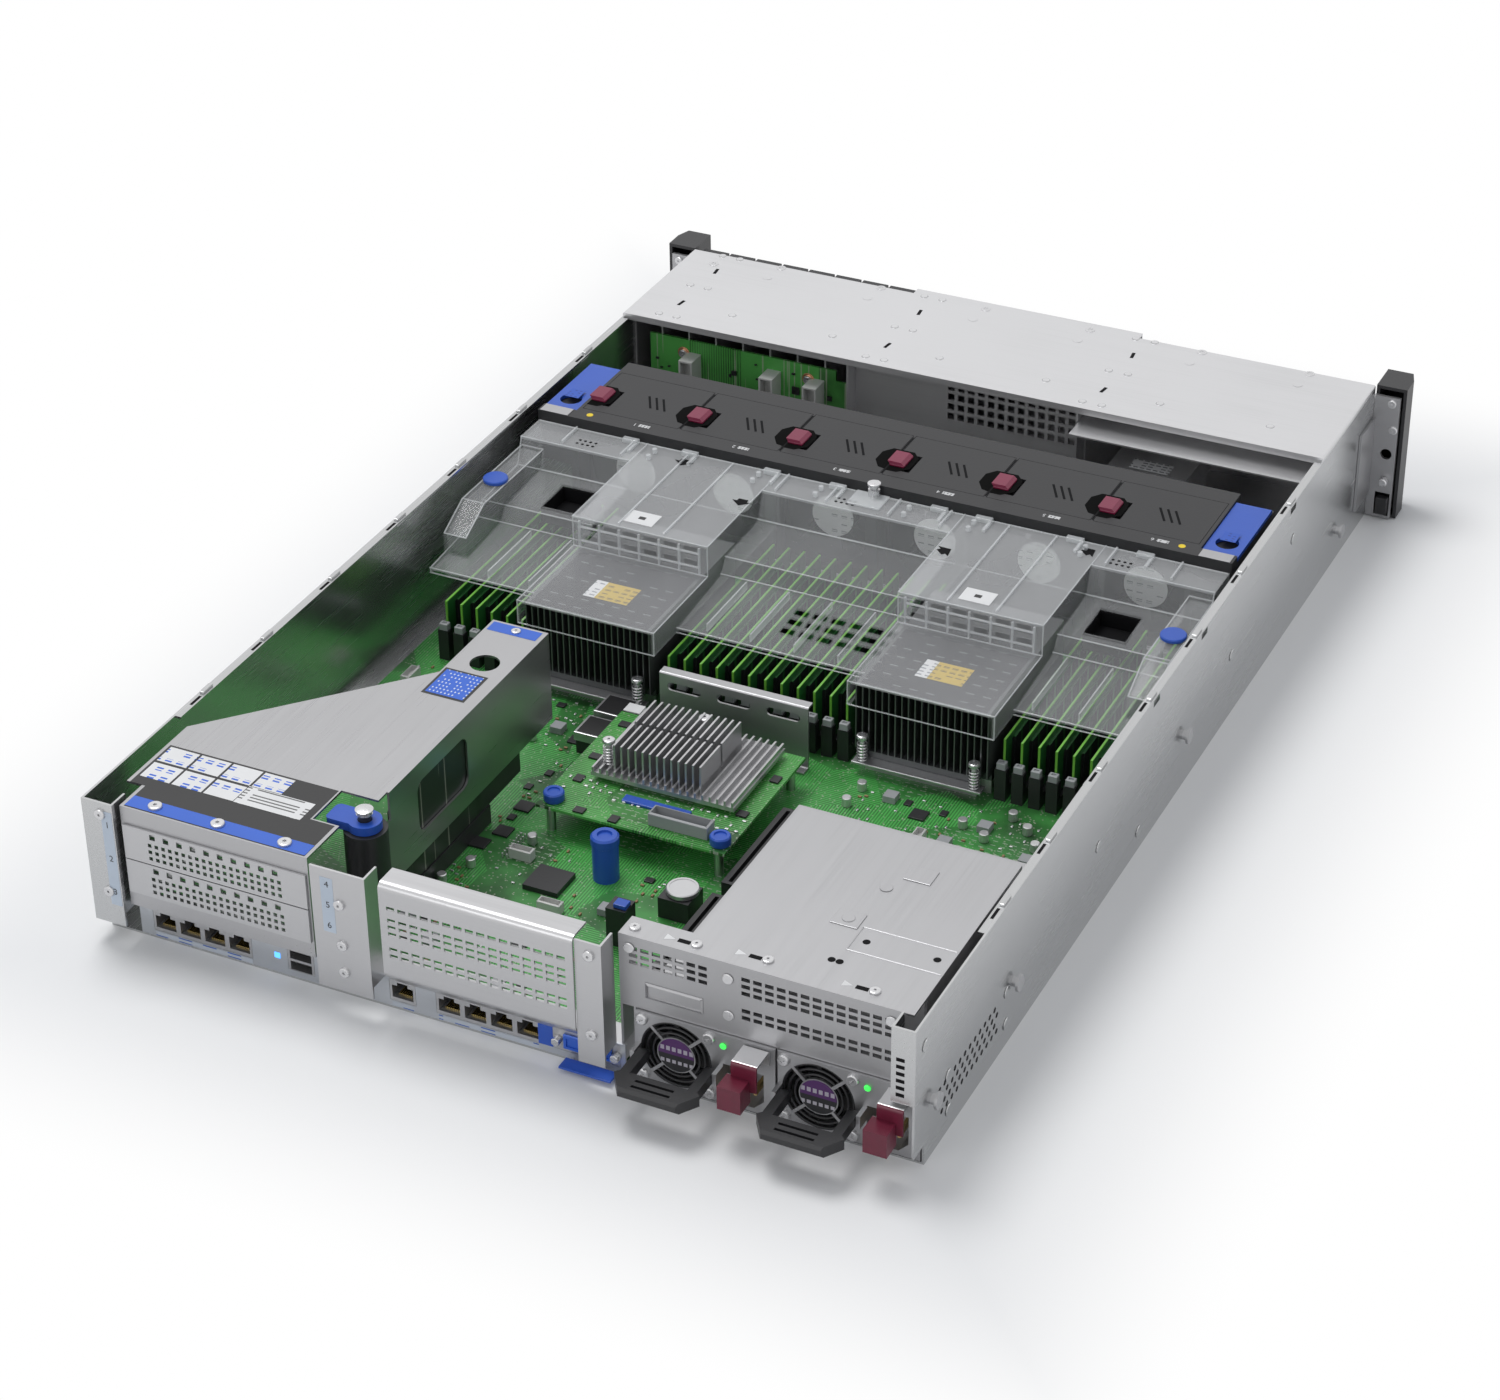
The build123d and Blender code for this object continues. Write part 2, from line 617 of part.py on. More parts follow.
with BuildPart() as board_parts:
    for chip_x, chip_y, chip_size, chip_rise in chip_places:
        block(around(chip_x, chip_size), around(chip_y, chip_size), (board_top, board_top + chip_rise))
    for socket_x, cable_y in cable_sockets:
        socket_z = (board_top, board_top + cable_socket_height)
        block(around(socket_x, cable_socket_size), around(cable_y, cable_socket_size), socket_z)
    with Locations((*lift_post, (board_top + lift_post_top) / 2)):
        Cylinder(lift_post_radius, lift_post_top - board_top)
save(board_parts, "board_parts")

# The rear socket panel and what shows through it.
jack_height = 12.6
jack_depth = 16.0
# Each row of jacks: the X it starts at and how many jacks run from there towards -X.
jack_rows = [(196.5, 4), (60.0, 1), (34.0, 4)]
usb_x = (103.0, 118.0)
video_x = (-66.0, -30.0)
port_z = (board_top, board_top + jack_height)
panel_y = (io_y - sheet, io_y)
jack_clear = 1.4
jack_floor = 2.0
usb_opening = 5.2

with BuildPart() as io_panel:
    io_x = (psu_bay_edge + board_edge / 2, half_width - column_width - running_gap)
    block(io_x, panel_y, (sheet, io_height))
    for row_start, jacks in jack_rows:
        row_x = (row_start - jacks * jack_width - seat_gap, row_start + seat_gap)
        block(row_x, panel_y, (port_z[0] - seat_gap, port_z[1] + seat_gap), Mode.SUBTRACT)
    for port_x in (usb_x, video_x):
        opening_x = (port_x[0] - seat_gap, port_x[1] + seat_gap)
        block(opening_x, panel_y, (port_z[0] - seat_gap, port_z[1] + seat_gap), Mode.SUBTRACT)
save(io_panel, "rear_io_panel")

with BuildPart() as rear_ports:
    for row_start, jacks in jack_rows:
        row_x = (row_start - jacks * jack_width, row_start)
        block(row_x, (io_y - jack_depth, io_y), port_z)
        for place in range(jacks):
            jack_x = row_start - (place + 0.5) * jack_width
            opening_z = (port_z[0] + jack_floor, port_z[1] - jack_floor - jack_clear)
            opening_y = (io_y - jack_depth + jack_floor, io_y)
            block(around(jack_x, jack_opening), opening_y, opening_z, Mode.SUBTRACT)
            clip_z = (opening_z[1], port_z[1] - jack_clear)
            block(around(jack_x, jack_opening / 2), (io_y - jack_depth / 2, io_y), clip_z, Mode.SUBTRACT)
    block(usb_x, (io_y - jack_depth, io_y), port_z)
    usb_middle = sum(port_z) / 2
    usb_rise = (usb_opening + jack_clear) / 2
    for usb_z in (usb_middle - usb_rise, usb_middle + usb_rise):
        usb_inside = (usb_x[0] + jack_clear, usb_x[1] - jack_clear)
        block(usb_inside, (io_y - jack_depth + jack_floor, io_y), around(usb_z, usb_opening), Mode.SUBTRACT)
    block(video_x, (io_y - jack_depth, io_y), port_z)
save(rear_ports, "rear_ports")

# Fixed brackets above the socket panel: the middle column, the vented blank bracket and the strap.
column_plate_x = (62.0, 92.5)
vent_bracket_x = (-50.0, 54.0)
strap_x = (-64.5, vent_bracket_x[0] - running_gap)
bracket_foot_z = 31.0
vent_size = 4.4
vent_height = 2.2
vent_pitch = 6.1
# Each band of vents: its Z and how many rows it has.
vent_rows = [(71.0, 1), (60.0, 3), (45.0, 2)]
vent_row_pitch = 4.0

with BuildPart() as rear_brackets:
    plate_y = (rear_y - sheet, rear_y)
    plate_z = (column_foot_z, deck_z)
    for plate_x, edge in ((column_plate_x, column_plate_x[0]), (strap_x, strap_x[0])):
        block(plate_x, plate_y, plate_z)
        block((edge, edge + sheet), (io_y, rear_y), (io_height, deck_z))
    vent_line = [
        (rear_y - flange_depth - sheet, deck_z),
        (rear_y, deck_z),
        (rear_y, bracket_foot_z),
        (io_y + sheet, io_height + sheet),
    ]
    bracket_length = vent_bracket_x[1] - vent_bracket_x[0]
    folded_sheet(Plane.YZ.offset(vent_bracket_x[0]), vent_line, 2 * sheet, bracket_length)
    vent_count = int(bracket_length / vent_pitch) - 1
    with BuildSketch(Plane.XZ.offset(-rear_y - sheet)):
        for vent_z, rows in vent_rows:
            with Locations((sum(vent_bracket_x) / 2, vent_z)):
                with GridLocations(vent_pitch, vent_row_pitch, vent_count, rows):
                    Rectangle(vent_size, vent_height)
    extrude(amount=3 * sheet, mode=Mode.SUBTRACT)
save(rear_brackets, "rear_brackets")

# The sheet cage over the power supplies: a shelf, its walls, the vented rear face and the top plate.
cage_plate_x = (-216.0, -100.0)
cage_front_y = 208.0
cage_rear_y = 336.5
cage_left_x = -66.5
# Each group of vents: its X, its Z, how many columns and how many rows.
cage_vent_groups = [(-92.0, 72.0, 7, 3), (-168.0, 72.0, 13, 3), (-168.0, 56.0, 13, 2)]
cage_vent_pitch = 6.0
shelf_z = (psu_roof_z, psu_roof_z + sheet)

with BuildPart() as psu_cage:
    psu_shelf_x = (-inner_x + seat_gap, psu_bay_edge)
    block(psu_shelf_x, (psu_front_y, cage_rear_y), shelf_z)
    psu_wall_x = (psu_bay_edge - sheet, psu_bay_edge)
    block(psu_wall_x, (psu_front_y, cage_rear_y), (sheet + seat_gap, shelf_z[0]))
    divider_x = around(-inner_x + psu_pitch, sheet / 2)
    block(divider_x, (psu_front_y, cage_rear_y), (sheet + seat_gap, shelf_z[0]))
    block(cage_plate_x, (cage_front_y, cage_rear_y), (deck_z - sheet, deck_z))
    strip_y = (cage_rear_y - flange_depth - 2 * sheet, cage_rear_y)
    block((cage_plate_x[1], cage_left_x), strip_y, (deck_z - sheet, deck_z))
    block((cage_left_x - sheet, cage_left_x), strip_y, (io_height, deck_z))
    rear_wall_x = (-half_width + psu_column_width + running_gap, cage_left_x)
    block(rear_wall_x, (cage_rear_y - sheet, cage_rear_y), (shelf_z[0], deck_z))
    block((cage_plate_x[1] - sheet, cage_plate_x[1]), (cage_front_y, cage_rear_y), (shelf_z[0], deck_z))
    block((cage_plate_x[0], cage_plate_x[0] + sheet), (cage_front_y, strip_y[0]), (shelf_z[0], deck_z))
    with BuildSketch(Plane.XZ.offset(-cage_rear_y)):
        for group_x, group_z, columns, rows in cage_vent_groups:
            with Locations((group_x, group_z)):
                with GridLocations(cage_vent_pitch, vent_row_pitch, columns, rows):
                    Rectangle(vent_size, vent_height)
    extrude(amount=sheet, mode=Mode.SUBTRACT)
save(psu_cage, "psu_cage")

# Rail studs stand out from both side walls.
stud_places = [(330.0, 33.0), (232.0, 33.0), (-5.0, 33.0), (-268.0, 20.0)]
stud_radius = 2.6
stud_head_radius = 4.4
stud_reach = 4.0
stud_head = 1.4

with BuildPart() as rail_studs:
    for side in (1, -1):
        for stud_y, stud_z in stud_places:
            with Locations(Plane(origin=(side * half_width, stud_y, stud_z), z_dir=(side, 0, 0))):
                Cylinder(stud_radius, stud_reach, align=(Align.CENTER, Align.CENTER, Align.MIN))
                with Locations((0, 0, stud_reach - stud_head)):
                    Cylinder(stud_head_radius, stud_head, align=(Align.CENTER, Align.CENTER, Align.MIN))
save(rail_studs, "rail_studs")

# The riser cage lifts out with its card board, slot blanks and half-turn latch.
riser_rear_y = 346.0
riser_foot_z = 24.0
riser_right_x = 90.0
riser_left_x = 212.0
riser_neck_x = 122.0
riser_front_y = 116.0
riser_slope_y = (173.0, 272.0)
finger_hole_y = 156.0
riser_rear_x = (96.0, 203.0)
notch_x = (90.0, 111.0)
notch_y = (289.0, 316.0)
side_plate_rear_y = 281.0
side_plate_foot_z = 30.0
window_y = (205.0, 255.0)
window_z = (42.0, 72.0)
window_radius = 6.0
finger_radius = 8.0
slot_opening_height = 15.0
slot_margin = 4.8
blank_vent = 2.1
blank_vent_pitch = 3.9
blank_columns = 20
blank_rows = 3
blank_levels = (62.0, 41.7)
big_vent = 3.2
big_vent_pitch = 7.8
big_vent_rise = 9.0
latch_pin = (89.5, 303.0)
latch_pin_radius = 3.4
latch_post_radius = 11.0
latch_post_z = (32.0, 76.0)
latch_thickness = 4.6
latch_reach = 19.0
latch_ring = 8.5
latch_finger_width = 13.6
latch_corner = 2.8

with BuildPart() as riser_cage:
    with BuildSketch(Plane.XY.offset(deck_z - sheet)):
        with BuildLine():
            Polyline(
                (riser_rear_x[1], riser_rear_y),
                (riser_rear_x[1], rear_y - 2 * flange_depth),
                (riser_left_x, rear_y - 2 * flange_depth),
                (riser_left_x, riser_slope_y[1]),
                (riser_neck_x, riser_slope_y[0]),
                (riser_neck_x, riser_front_y),
                (riser_right_x, riser_front_y),
                (riser_right_x, notch_y[0]),
                (notch_x[1], notch_y[0]),
                (notch_x[1], notch_y[1]),
                (riser_rear_x[0], notch_y[1]),
                (riser_rear_x[0], riser_rear_y),
                close=True,
            )
        make_face()
        with Locations(((riser_right_x + riser_neck_x) / 2 - sheet, finger_hole_y)):
            Circle(finger_radius, mode=Mode.SUBTRACT)
    extrude(amount=sheet)
    side_plate_x = (riser_right_x - sheet, riser_right_x)
    block(side_plate_x, (riser_front_y, side_plate_rear_y), (side_plate_foot_z, deck_z))
    tab_y = (side_plate_rear_y, latch_pin[1] - latch_post_radius)
    block(side_plate_x, tab_y, (latch_post_z[0], latch_post_z[1] - 2 * latch_thickness))
    with BuildSketch(Plane.YZ.offset(riser_right_x - sheet)):
        with Locations((sum(window_y) / 2, sum(window_z) / 2)):
            RectangleRounded(window_y[1] - window_y[0], window_z[1] - window_z[0], window_radius)
    extrude(amount=sheet, mode=Mode.SUBTRACT)
    rear_wall_y = (riser_rear_y - sheet, riser_rear_y)
    block(riser_rear_x, rear_wall_y, (riser_foot_z, deck_z))
    block((riser_rear_x[1] - sheet, riser_rear_x[1]), (notch_y[0], riser_rear_y), (riser_foot_z, deck_z))
    for level in blank_levels:
        inside_x = (riser_rear_x[0] + slot_margin, riser_rear_x[1] - slot_margin)
        block(inside_x, rear_wall_y, around(level, slot_opening_height), Mode.SUBTRACT)
save(riser_cage, "riser_cage")

blank_y = riser_rear_y + seat_gap
with BuildPart() as slot_blanks:
    for level in blank_levels:
        blank_x = (riser_rear_x[0] + sheet, riser_rear_x[1] - sheet)
        block(blank_x, (blank_y, blank_y + sheet), around(level + sheet, slot_pitch - 2 * running_gap))
        with BuildSketch(Plane.XZ.offset(-blank_y - sheet)):
            with Locations((sum(blank_x) / 2, level - sheet)):
                with GridLocations(blank_vent_pitch, blank_vent_pitch, blank_columns, blank_rows):
                    Rectangle(blank_vent, blank_vent)
            with Locations((sum(blank_x) / 2, level - sheet + big_vent_rise)):
                with GridLocations(big_vent_pitch, 1, blank_columns // 2, 1):
                    Rectangle(big_vent, big_vent)
        extrude(amount=sheet, mode=Mode.SUBTRACT)
save(slot_blanks, "slot_blanks")

riser_board_x = riser_right_x + running_gap
riser_slots = (72.0, 52.0, 32.0)
riser_board_y = (150.0, 276.0)
riser_slot_y = (172.0, 262.0)
card_gap = 4.0
with BuildPart() as riser_board:
    riser_board_z = (board_top + slot_height + running_gap, deck_z - card_gap)
    block((riser_board_x, riser_board_x + board_thickness), riser_board_y, riser_board_z)
    for level in riser_slots:
        slot_start_x = riser_board_x + board_thickness
        block((slot_start_x, slot_start_x + slot_height), riser_slot_y, around(level, slot_width))
        groove_x = (slot_start_x + slot_height / 2, slot_start_x + slot_height)
        groove_y = (riser_slot_y[0] + slot_groove, riser_slot_y[1] - slot_groove)
        block(groove_x, groove_y, around(level, slot_groove), Mode.SUBTRACT)
save(riser_board, "riser_board")

with BuildPart() as latch_post:
    with Locations((*latch_pin, sum(latch_post_z) / 2)):
        Cylinder(latch_post_radius, latch_post_z[1] - latch_post_z[0])
    with Locations((*latch_pin, latch_post_z[1])):
        pin_length = deck_z + sheet - latch_post_z[1]
        Cylinder(latch_pin_radius, pin_length, align=(Align.CENTER, Align.CENTER, Align.MIN))
save(latch_post, "riser_latch_post")

with BuildPart() as riser_latch:
    latch_z = (latch_post_z[1] + running_gap, latch_post_z[1] + running_gap + latch_thickness)
    with BuildSketch(Plane.XY.offset(latch_z[0])):
        with Locations(latch_pin):
            Circle(latch_ring)
            with Locations((latch_reach / 2, 0)):
                RectangleRounded(latch_reach, latch_finger_width, latch_corner)
            Circle(latch_pin_radius + running_gap, mode=Mode.SUBTRACT)
    extrude(amount=latch_thickness)
save(riser_latch, "riser_latch")


# The fan cage lifts out in one piece; each of its six pockets takes a fan module from above.
fan_cage_y = (-170.0, -101.0)
fan_bar_depth = 6.0
fan_floor_z = sheet + running_gap
fan_top = 83.6
fan_wall = 1.4
fan_window = 56.0
fan_axis_z = 46.0
module_width = fan_pitch - fan_wall - 2 * running_gap
module_length = 48.8
module_y = around(fan_row_y, module_length)
module_cap = 2.8
pocket_y = (module_y[0] - running_gap, module_y[1] + running_gap)
lever_block_width = 21.0
lever_y = (-172.0, -110.0)
lever_block_top = 79.6
lever_block_foot = 52.0
lever_plate = 2.4
lever_barrel = 1.35
fan_row = [(place - (fan_count - 1) / 2) * fan_pitch for place in range(fan_count)]
row_half = fan_count * fan_pitch / 2 + fan_wall

with BuildPart() as fan_cage:
    block((-row_half, row_half), fan_cage_y, (fan_floor_z, fan_top))
    for centre_x in fan_row:
        pocket_x = around(centre_x, fan_pitch - fan_wall)
        block(pocket_x, pocket_y, (fan_floor_z + fan_wall, fan_top), Mode.SUBTRACT)
        window_x = around(centre_x, fan_window)
        block(window_x, fan_cage_y, around(fan_axis_z, fan_window), Mode.SUBTRACT)
    bar_y = (fan_cage_y[0] - fan_bar_depth, fan_cage_y[0])
    block((-row_half, row_half), bar_y, (fan_top - 2 * fan_bar_depth, fan_top))
    for side in (1, -1):
        end_x = (side * row_half, side * (row_half + lever_block_width))
        block(end_x, (lever_y[0], pocket_y[1] + fan_bar_depth), (lever_block_foot, lever_block_top))
        corner_y = (lever_y[1] + running_gap, fan_cage_y[1])
        block(end_x, corner_y, (lever_block_foot, fan_top))
        inner_end = (side * (row_half + fan_wall), side * (row_half + lever_block_width - fan_wall))
        hollow_y = (lever_y[0] + 3 * fan_wall, corner_y[0] - fan_wall)
        block(inner_end, hollow_y, (lever_block_foot, lever_block_top - fan_wall), Mode.SUBTRACT)
save(fan_cage, "fan_cage")

finger_hole = 6.5
lever_hinge_y = lever_y[0] + 2 * lever_plate
lever_hinge_z = lever_block_top + running_gap + lever_plate
for side, name in ((1, "right"), (-1, "left")):
    with BuildPart() as fan_lever:
        plate_x = (side * (row_half + running_gap), side * (row_half + lever_block_width))
        block(plate_x, (lever_hinge_y, lever_y[1]), (lever_hinge_z - lever_plate, lever_hinge_z))
        barrel_place = (sum(plate_x) / 2, lever_hinge_y, lever_hinge_z - lever_plate / 2)
        with Locations(Plane(origin=barrel_place, z_dir=(1, 0, 0))):
            Cylinder(lever_barrel, abs(plate_x[1] - plate_x[0]))
        with Locations((sum(plate_x) / 2, lever_y[1] - 2 * finger_hole, lever_hinge_z)):
            Cylinder(finger_hole, 2 * lever_plate, mode=Mode.SUBTRACT)
        thumb_edge = fan_lever.edges().filter_by(Axis.X).group_by(Axis.Y)[-1].sort_by(Axis.Z)[-1]
        chamfer(thumb_edge, length=lever_plate / 3)
    save(fan_lever, f"fan_cage_lever_{name}")

# A fan module: square frame with a round throat, a cap with a latch, and struts that carry the motor.
throat_wall = 1.6
throat_radius = fan_size / 2 - throat_wall
hub_radius = 13.0
strut = 2.4
motor_depth = 4.0
cap_recess_width = 13.0
cap_recess_length = 20.0
cap_recess_shift = 7.0
blade_pitch = 38.0
blade_chord = 18.0
blade_root = 1.0
latch_block_width = 8.0
latch_block_length = 13.0
fan_frame_y = (fan_row_y - fan_depth / 2, fan_row_y + fan_depth / 2)
cap_z = (fan_top - module_cap, fan_top)
blade_gap = 1.0
rotor_y = (fan_frame_y[0] + motor_depth, fan_frame_y[1] - motor_depth - running_gap)

for number, centre_x in enumerate(reversed(fan_row), start=1):
    with BuildPart() as fan_module:
        frame_z = (fan_floor_z + fan_wall + running_gap, cap_z[0])
        block(around(centre_x, module_width), fan_frame_y, frame_z)
        with BuildSketch(Plane.XZ.offset(-fan_frame_y[1])):
            with Locations((centre_x, fan_axis_z)):
                Circle(throat_radius)
        extrude(amount=fan_depth, mode=Mode.SUBTRACT)
        block(around(centre_x, module_width), module_y, cap_z)
        recess_x = (centre_x + module_width / 2 - cap_recess_width, centre_x + module_width / 2)
        recess_y = fan_row_y + cap_recess_shift
        block(recess_x, around(recess_y, cap_recess_length), cap_z, Mode.SUBTRACT)
        with BuildSketch(Plane.XZ.offset(-fan_frame_y[1])):
            with Locations((centre_x, fan_axis_z)):
                Circle(hub_radius)
                Rectangle(2 * throat_radius + strut, strut, rotation=45)
                Rectangle(2 * throat_radius + strut, strut, rotation=-45)
        extrude(amount=motor_depth)
        tab_x = (recess_x[1] - latch_block_width, recess_x[1])
        block(tab_x, around(recess_y, latch_block_length), (cap_z[0], cap_z[1] - running_gap))
    save(fan_module, f"fan_module_{number}")

    with BuildPart() as rotor:
        with BuildSketch(Plane.XZ.offset(-rotor_y[1])):
            with Locations((centre_x, fan_axis_z)):
                Circle(hub_radius)
        extrude(amount=rotor_y[1] - rotor_y[0])
        blade_length = throat_radius - blade_gap - hub_radius + blade_root
        blade_middle = (throat_radius - blade_gap + hub_radius - blade_root) / 2
        turn_plane = Plane(origin=(centre_x, sum(rotor_y) / 2, fan_axis_z), x_dir=(1, 0, 0), z_dir=(0, -1, 0))
        with Locations(turn_plane):
            with PolarLocations(blade_middle, rotor_blades):
                with Locations(Rot(X=blade_pitch)):
                    Box(blade_length, sheet, blade_chord)
    save(rotor, f"fan_rotor_{number}")

# The clear air baffle: a duct over each cooler and a low roof over the memory, open below and at both ends.
baffle_wall = 1.4
baffle_front_y = fan_cage_y[1] + running_gap
duct_top = 77.5
duct_clearance = 2.4
duct_half = sink_width / 2 + duct_clearance + baffle_wall
duct_rear_y = -8.0
lip_z = sink_top + running_gap + baffle_wall
lip_rear_y = sink_rear_y + 2.0
baffle_skirt_z = 44.0
low_roof_z = 62.0
low_slope = 6.0
low_fall = 2.0
low_front_y = -78.0
low_break_y = -30.0
low_step_z = 52.0
low_rear_y = 31.0
low_rear_z = 47.5
baffle_half = 212.0
baffle_window = (8.4, 6.0)
baffle_window_pitch = (12.4, 8.4)
baffle_window_columns = 6
baffle_window_rows = 2
duct_opening = (24.0, 26.0)
duct_opening_y = -50.0
duct_opening_floor = 53.0
side_box_width = 15.0
side_box_y = (-78.0, 14.0)
side_box_top = 72.0
side_box_foot = 32.0
side_box_slope = 22.0
middle_window_x = -28.0
middle_window_y = 2.0
middle_window_pitch = (11.0, 9.0)
middle_window_rows = 3

duct_line = [
    (baffle_front_y, baffle_skirt_z),
    (baffle_front_y, duct_top),
    (duct_rear_y, duct_top),
    (duct_rear_y, lip_z),
    (lip_rear_y, lip_z),
    (lip_rear_y, baffle_skirt_z),
]
low_line = [
    (baffle_front_y, baffle_skirt_z),
    (baffle_front_y, duct_top),
    (low_front_y, duct_top),
    (low_front_y + low_slope, low_roof_z),
    (low_break_y, low_roof_z - low_fall),
    (low_break_y + low_slope, low_step_z),
    (low_rear_y, low_rear_z),
    (low_rear_y, baffle_skirt_z),
]


def duct(line, x_range, mode=Mode.ADD):
    """A profile in the YZ plane pulled out across a range of X."""
    with BuildSketch(Plane.YZ.offset(x_range[0])) as section:
        with BuildLine():
            Polyline(*line, close=True)
        make_face()
    extrude(section.sketch, amount=x_range[1] - x_range[0], mode=mode)


def lowered(line):
    """The inside of a roof line: one wall lower, and one wall in from each end that is closed."""
    inside = []
    for place_y, place_z in line:
        drop = 0 if place_z == baffle_skirt_z else baffle_wall
        shift = -baffle_wall if place_y in (duct_rear_y,) else 0
        inside.append((place_y + shift, place_z - drop))
    return inside


with BuildPart() as air_baffle:
    duct(low_line, (-baffle_half, baffle_half))
    for side in (1, -1):
        duct(duct_line, around(side * cpu_offset, 2 * duct_half))
    inner_edges = [
        (-baffle_half + baffle_wall, -cpu_offset - duct_half),
        (-cpu_offset + duct_half, cpu_offset - duct_half),
        (cpu_offset + duct_half, baffle_half - baffle_wall),
    ]
    side_line = [
        (side_box_y[0], side_box_foot),
        (side_box_y[0], side_box_top),
        (side_box_y[1] - side_box_slope, side_box_top),
        (side_box_y[1], side_box_top - side_box_slope / 2),
        (side_box_y[1], side_box_foot),
    ]
    side_boxes = [around(side * (baffle_half - side_box_width / 2), side_box_width) for side in (1, -1)]
    side_hollow = [
        (side_box_y[0] + baffle_wall, side_box_foot),
        (side_box_y[0] + baffle_wall, side_box_top - baffle_wall),
        (side_box_y[1] - side_box_slope - baffle_wall, side_box_top - baffle_wall),
        (side_box_y[1] - baffle_wall, side_box_top - side_box_slope / 2 - baffle_wall),
        (side_box_y[1] - baffle_wall, side_box_foot),
    ]
    for x_range in inner_edges:
        duct(lowered(low_line), x_range, Mode.SUBTRACT)
    for side in (1, -1):
        duct(lowered(duct_line), around(side * cpu_offset, 2 * (duct_half - baffle_wall)), Mode.SUBTRACT)
    for start_x, end_x in side_boxes:
        duct(side_line, (start_x, end_x))
        duct(side_hollow, (start_x + baffle_wall, end_x - baffle_wall), Mode.SUBTRACT)
    with BuildSketch(Plane.XY.offset(low_rear_z - 2 * baffle_wall)):
        with Locations((middle_window_x, middle_window_y)):
            with GridLocations(*middle_window_pitch, baffle_window_columns, middle_window_rows):
                Rectangle(*baffle_window)
    extrude(amount=low_step_z - low_rear_z + 4 * baffle_wall, mode=Mode.SUBTRACT)
    for side in (1, -1):
        with BuildSketch(Plane.XZ.offset(-duct_rear_y - baffle_wall)):
            with Locations((side * cpu_offset, (duct_top + lip_z) / 2)):
                with GridLocations(*baffle_window_pitch, baffle_window_columns, baffle_window_rows):
                    Rectangle(*baffle_window)
        extrude(amount=4 * baffle_wall, mode=Mode.SUBTRACT)
        opening_x = around(side * (cpu_offset + duct_half + duct_opening[0]), duct_opening[0])
        opening_z = (duct_opening_floor, low_roof_z)
        block(opening_x, around(duct_opening_y, duct_opening[1]), opening_z, Mode.SUBTRACT)
save(air_baffle, "air_baffle")

# Two power supplies slide in from the rear, each with a fan, an inlet, a carrying handle and a latch.
psu_centres = [-(inner_x - 1.5 * psu_pitch), -(inner_x - psu_pitch / 2)]
psu_mid_z = psu_floor_z + psu_height / 2
psu_fan_shift = 15.4
psu_fan_depth = 24.0
inlet_shift = -19.5
inlet_size = 21.0
inlet_depth = 18.0
inlet_z = psu_floor_z + 13.0
inlet_corner = 5.0
guard_bar = 1.6
guard_disc = 10.0
guard_depth = 1.6
handle_width = 45.0
handle_shift = 13.5
handle_reach = 31.0
handle_arm = 5.0
handle_bar = 13.0
handle_thickness = 6.0
handle_z = 20.0
pivot_y = psu_face_y + 4.0
lug_width = 2.2
lug_size = 7.0
clip_width = 13.0
clip_shift = -27.0
clip_z = 36.0
clip_reach = 14.0
tab_width = 12.0
tab_length = 11.0
tab_height = 13.0
tab_drop = 10.0
psu_hub_radius = 8.6
psu_blade_chord = 13.8
exhaust_gap = 2.0

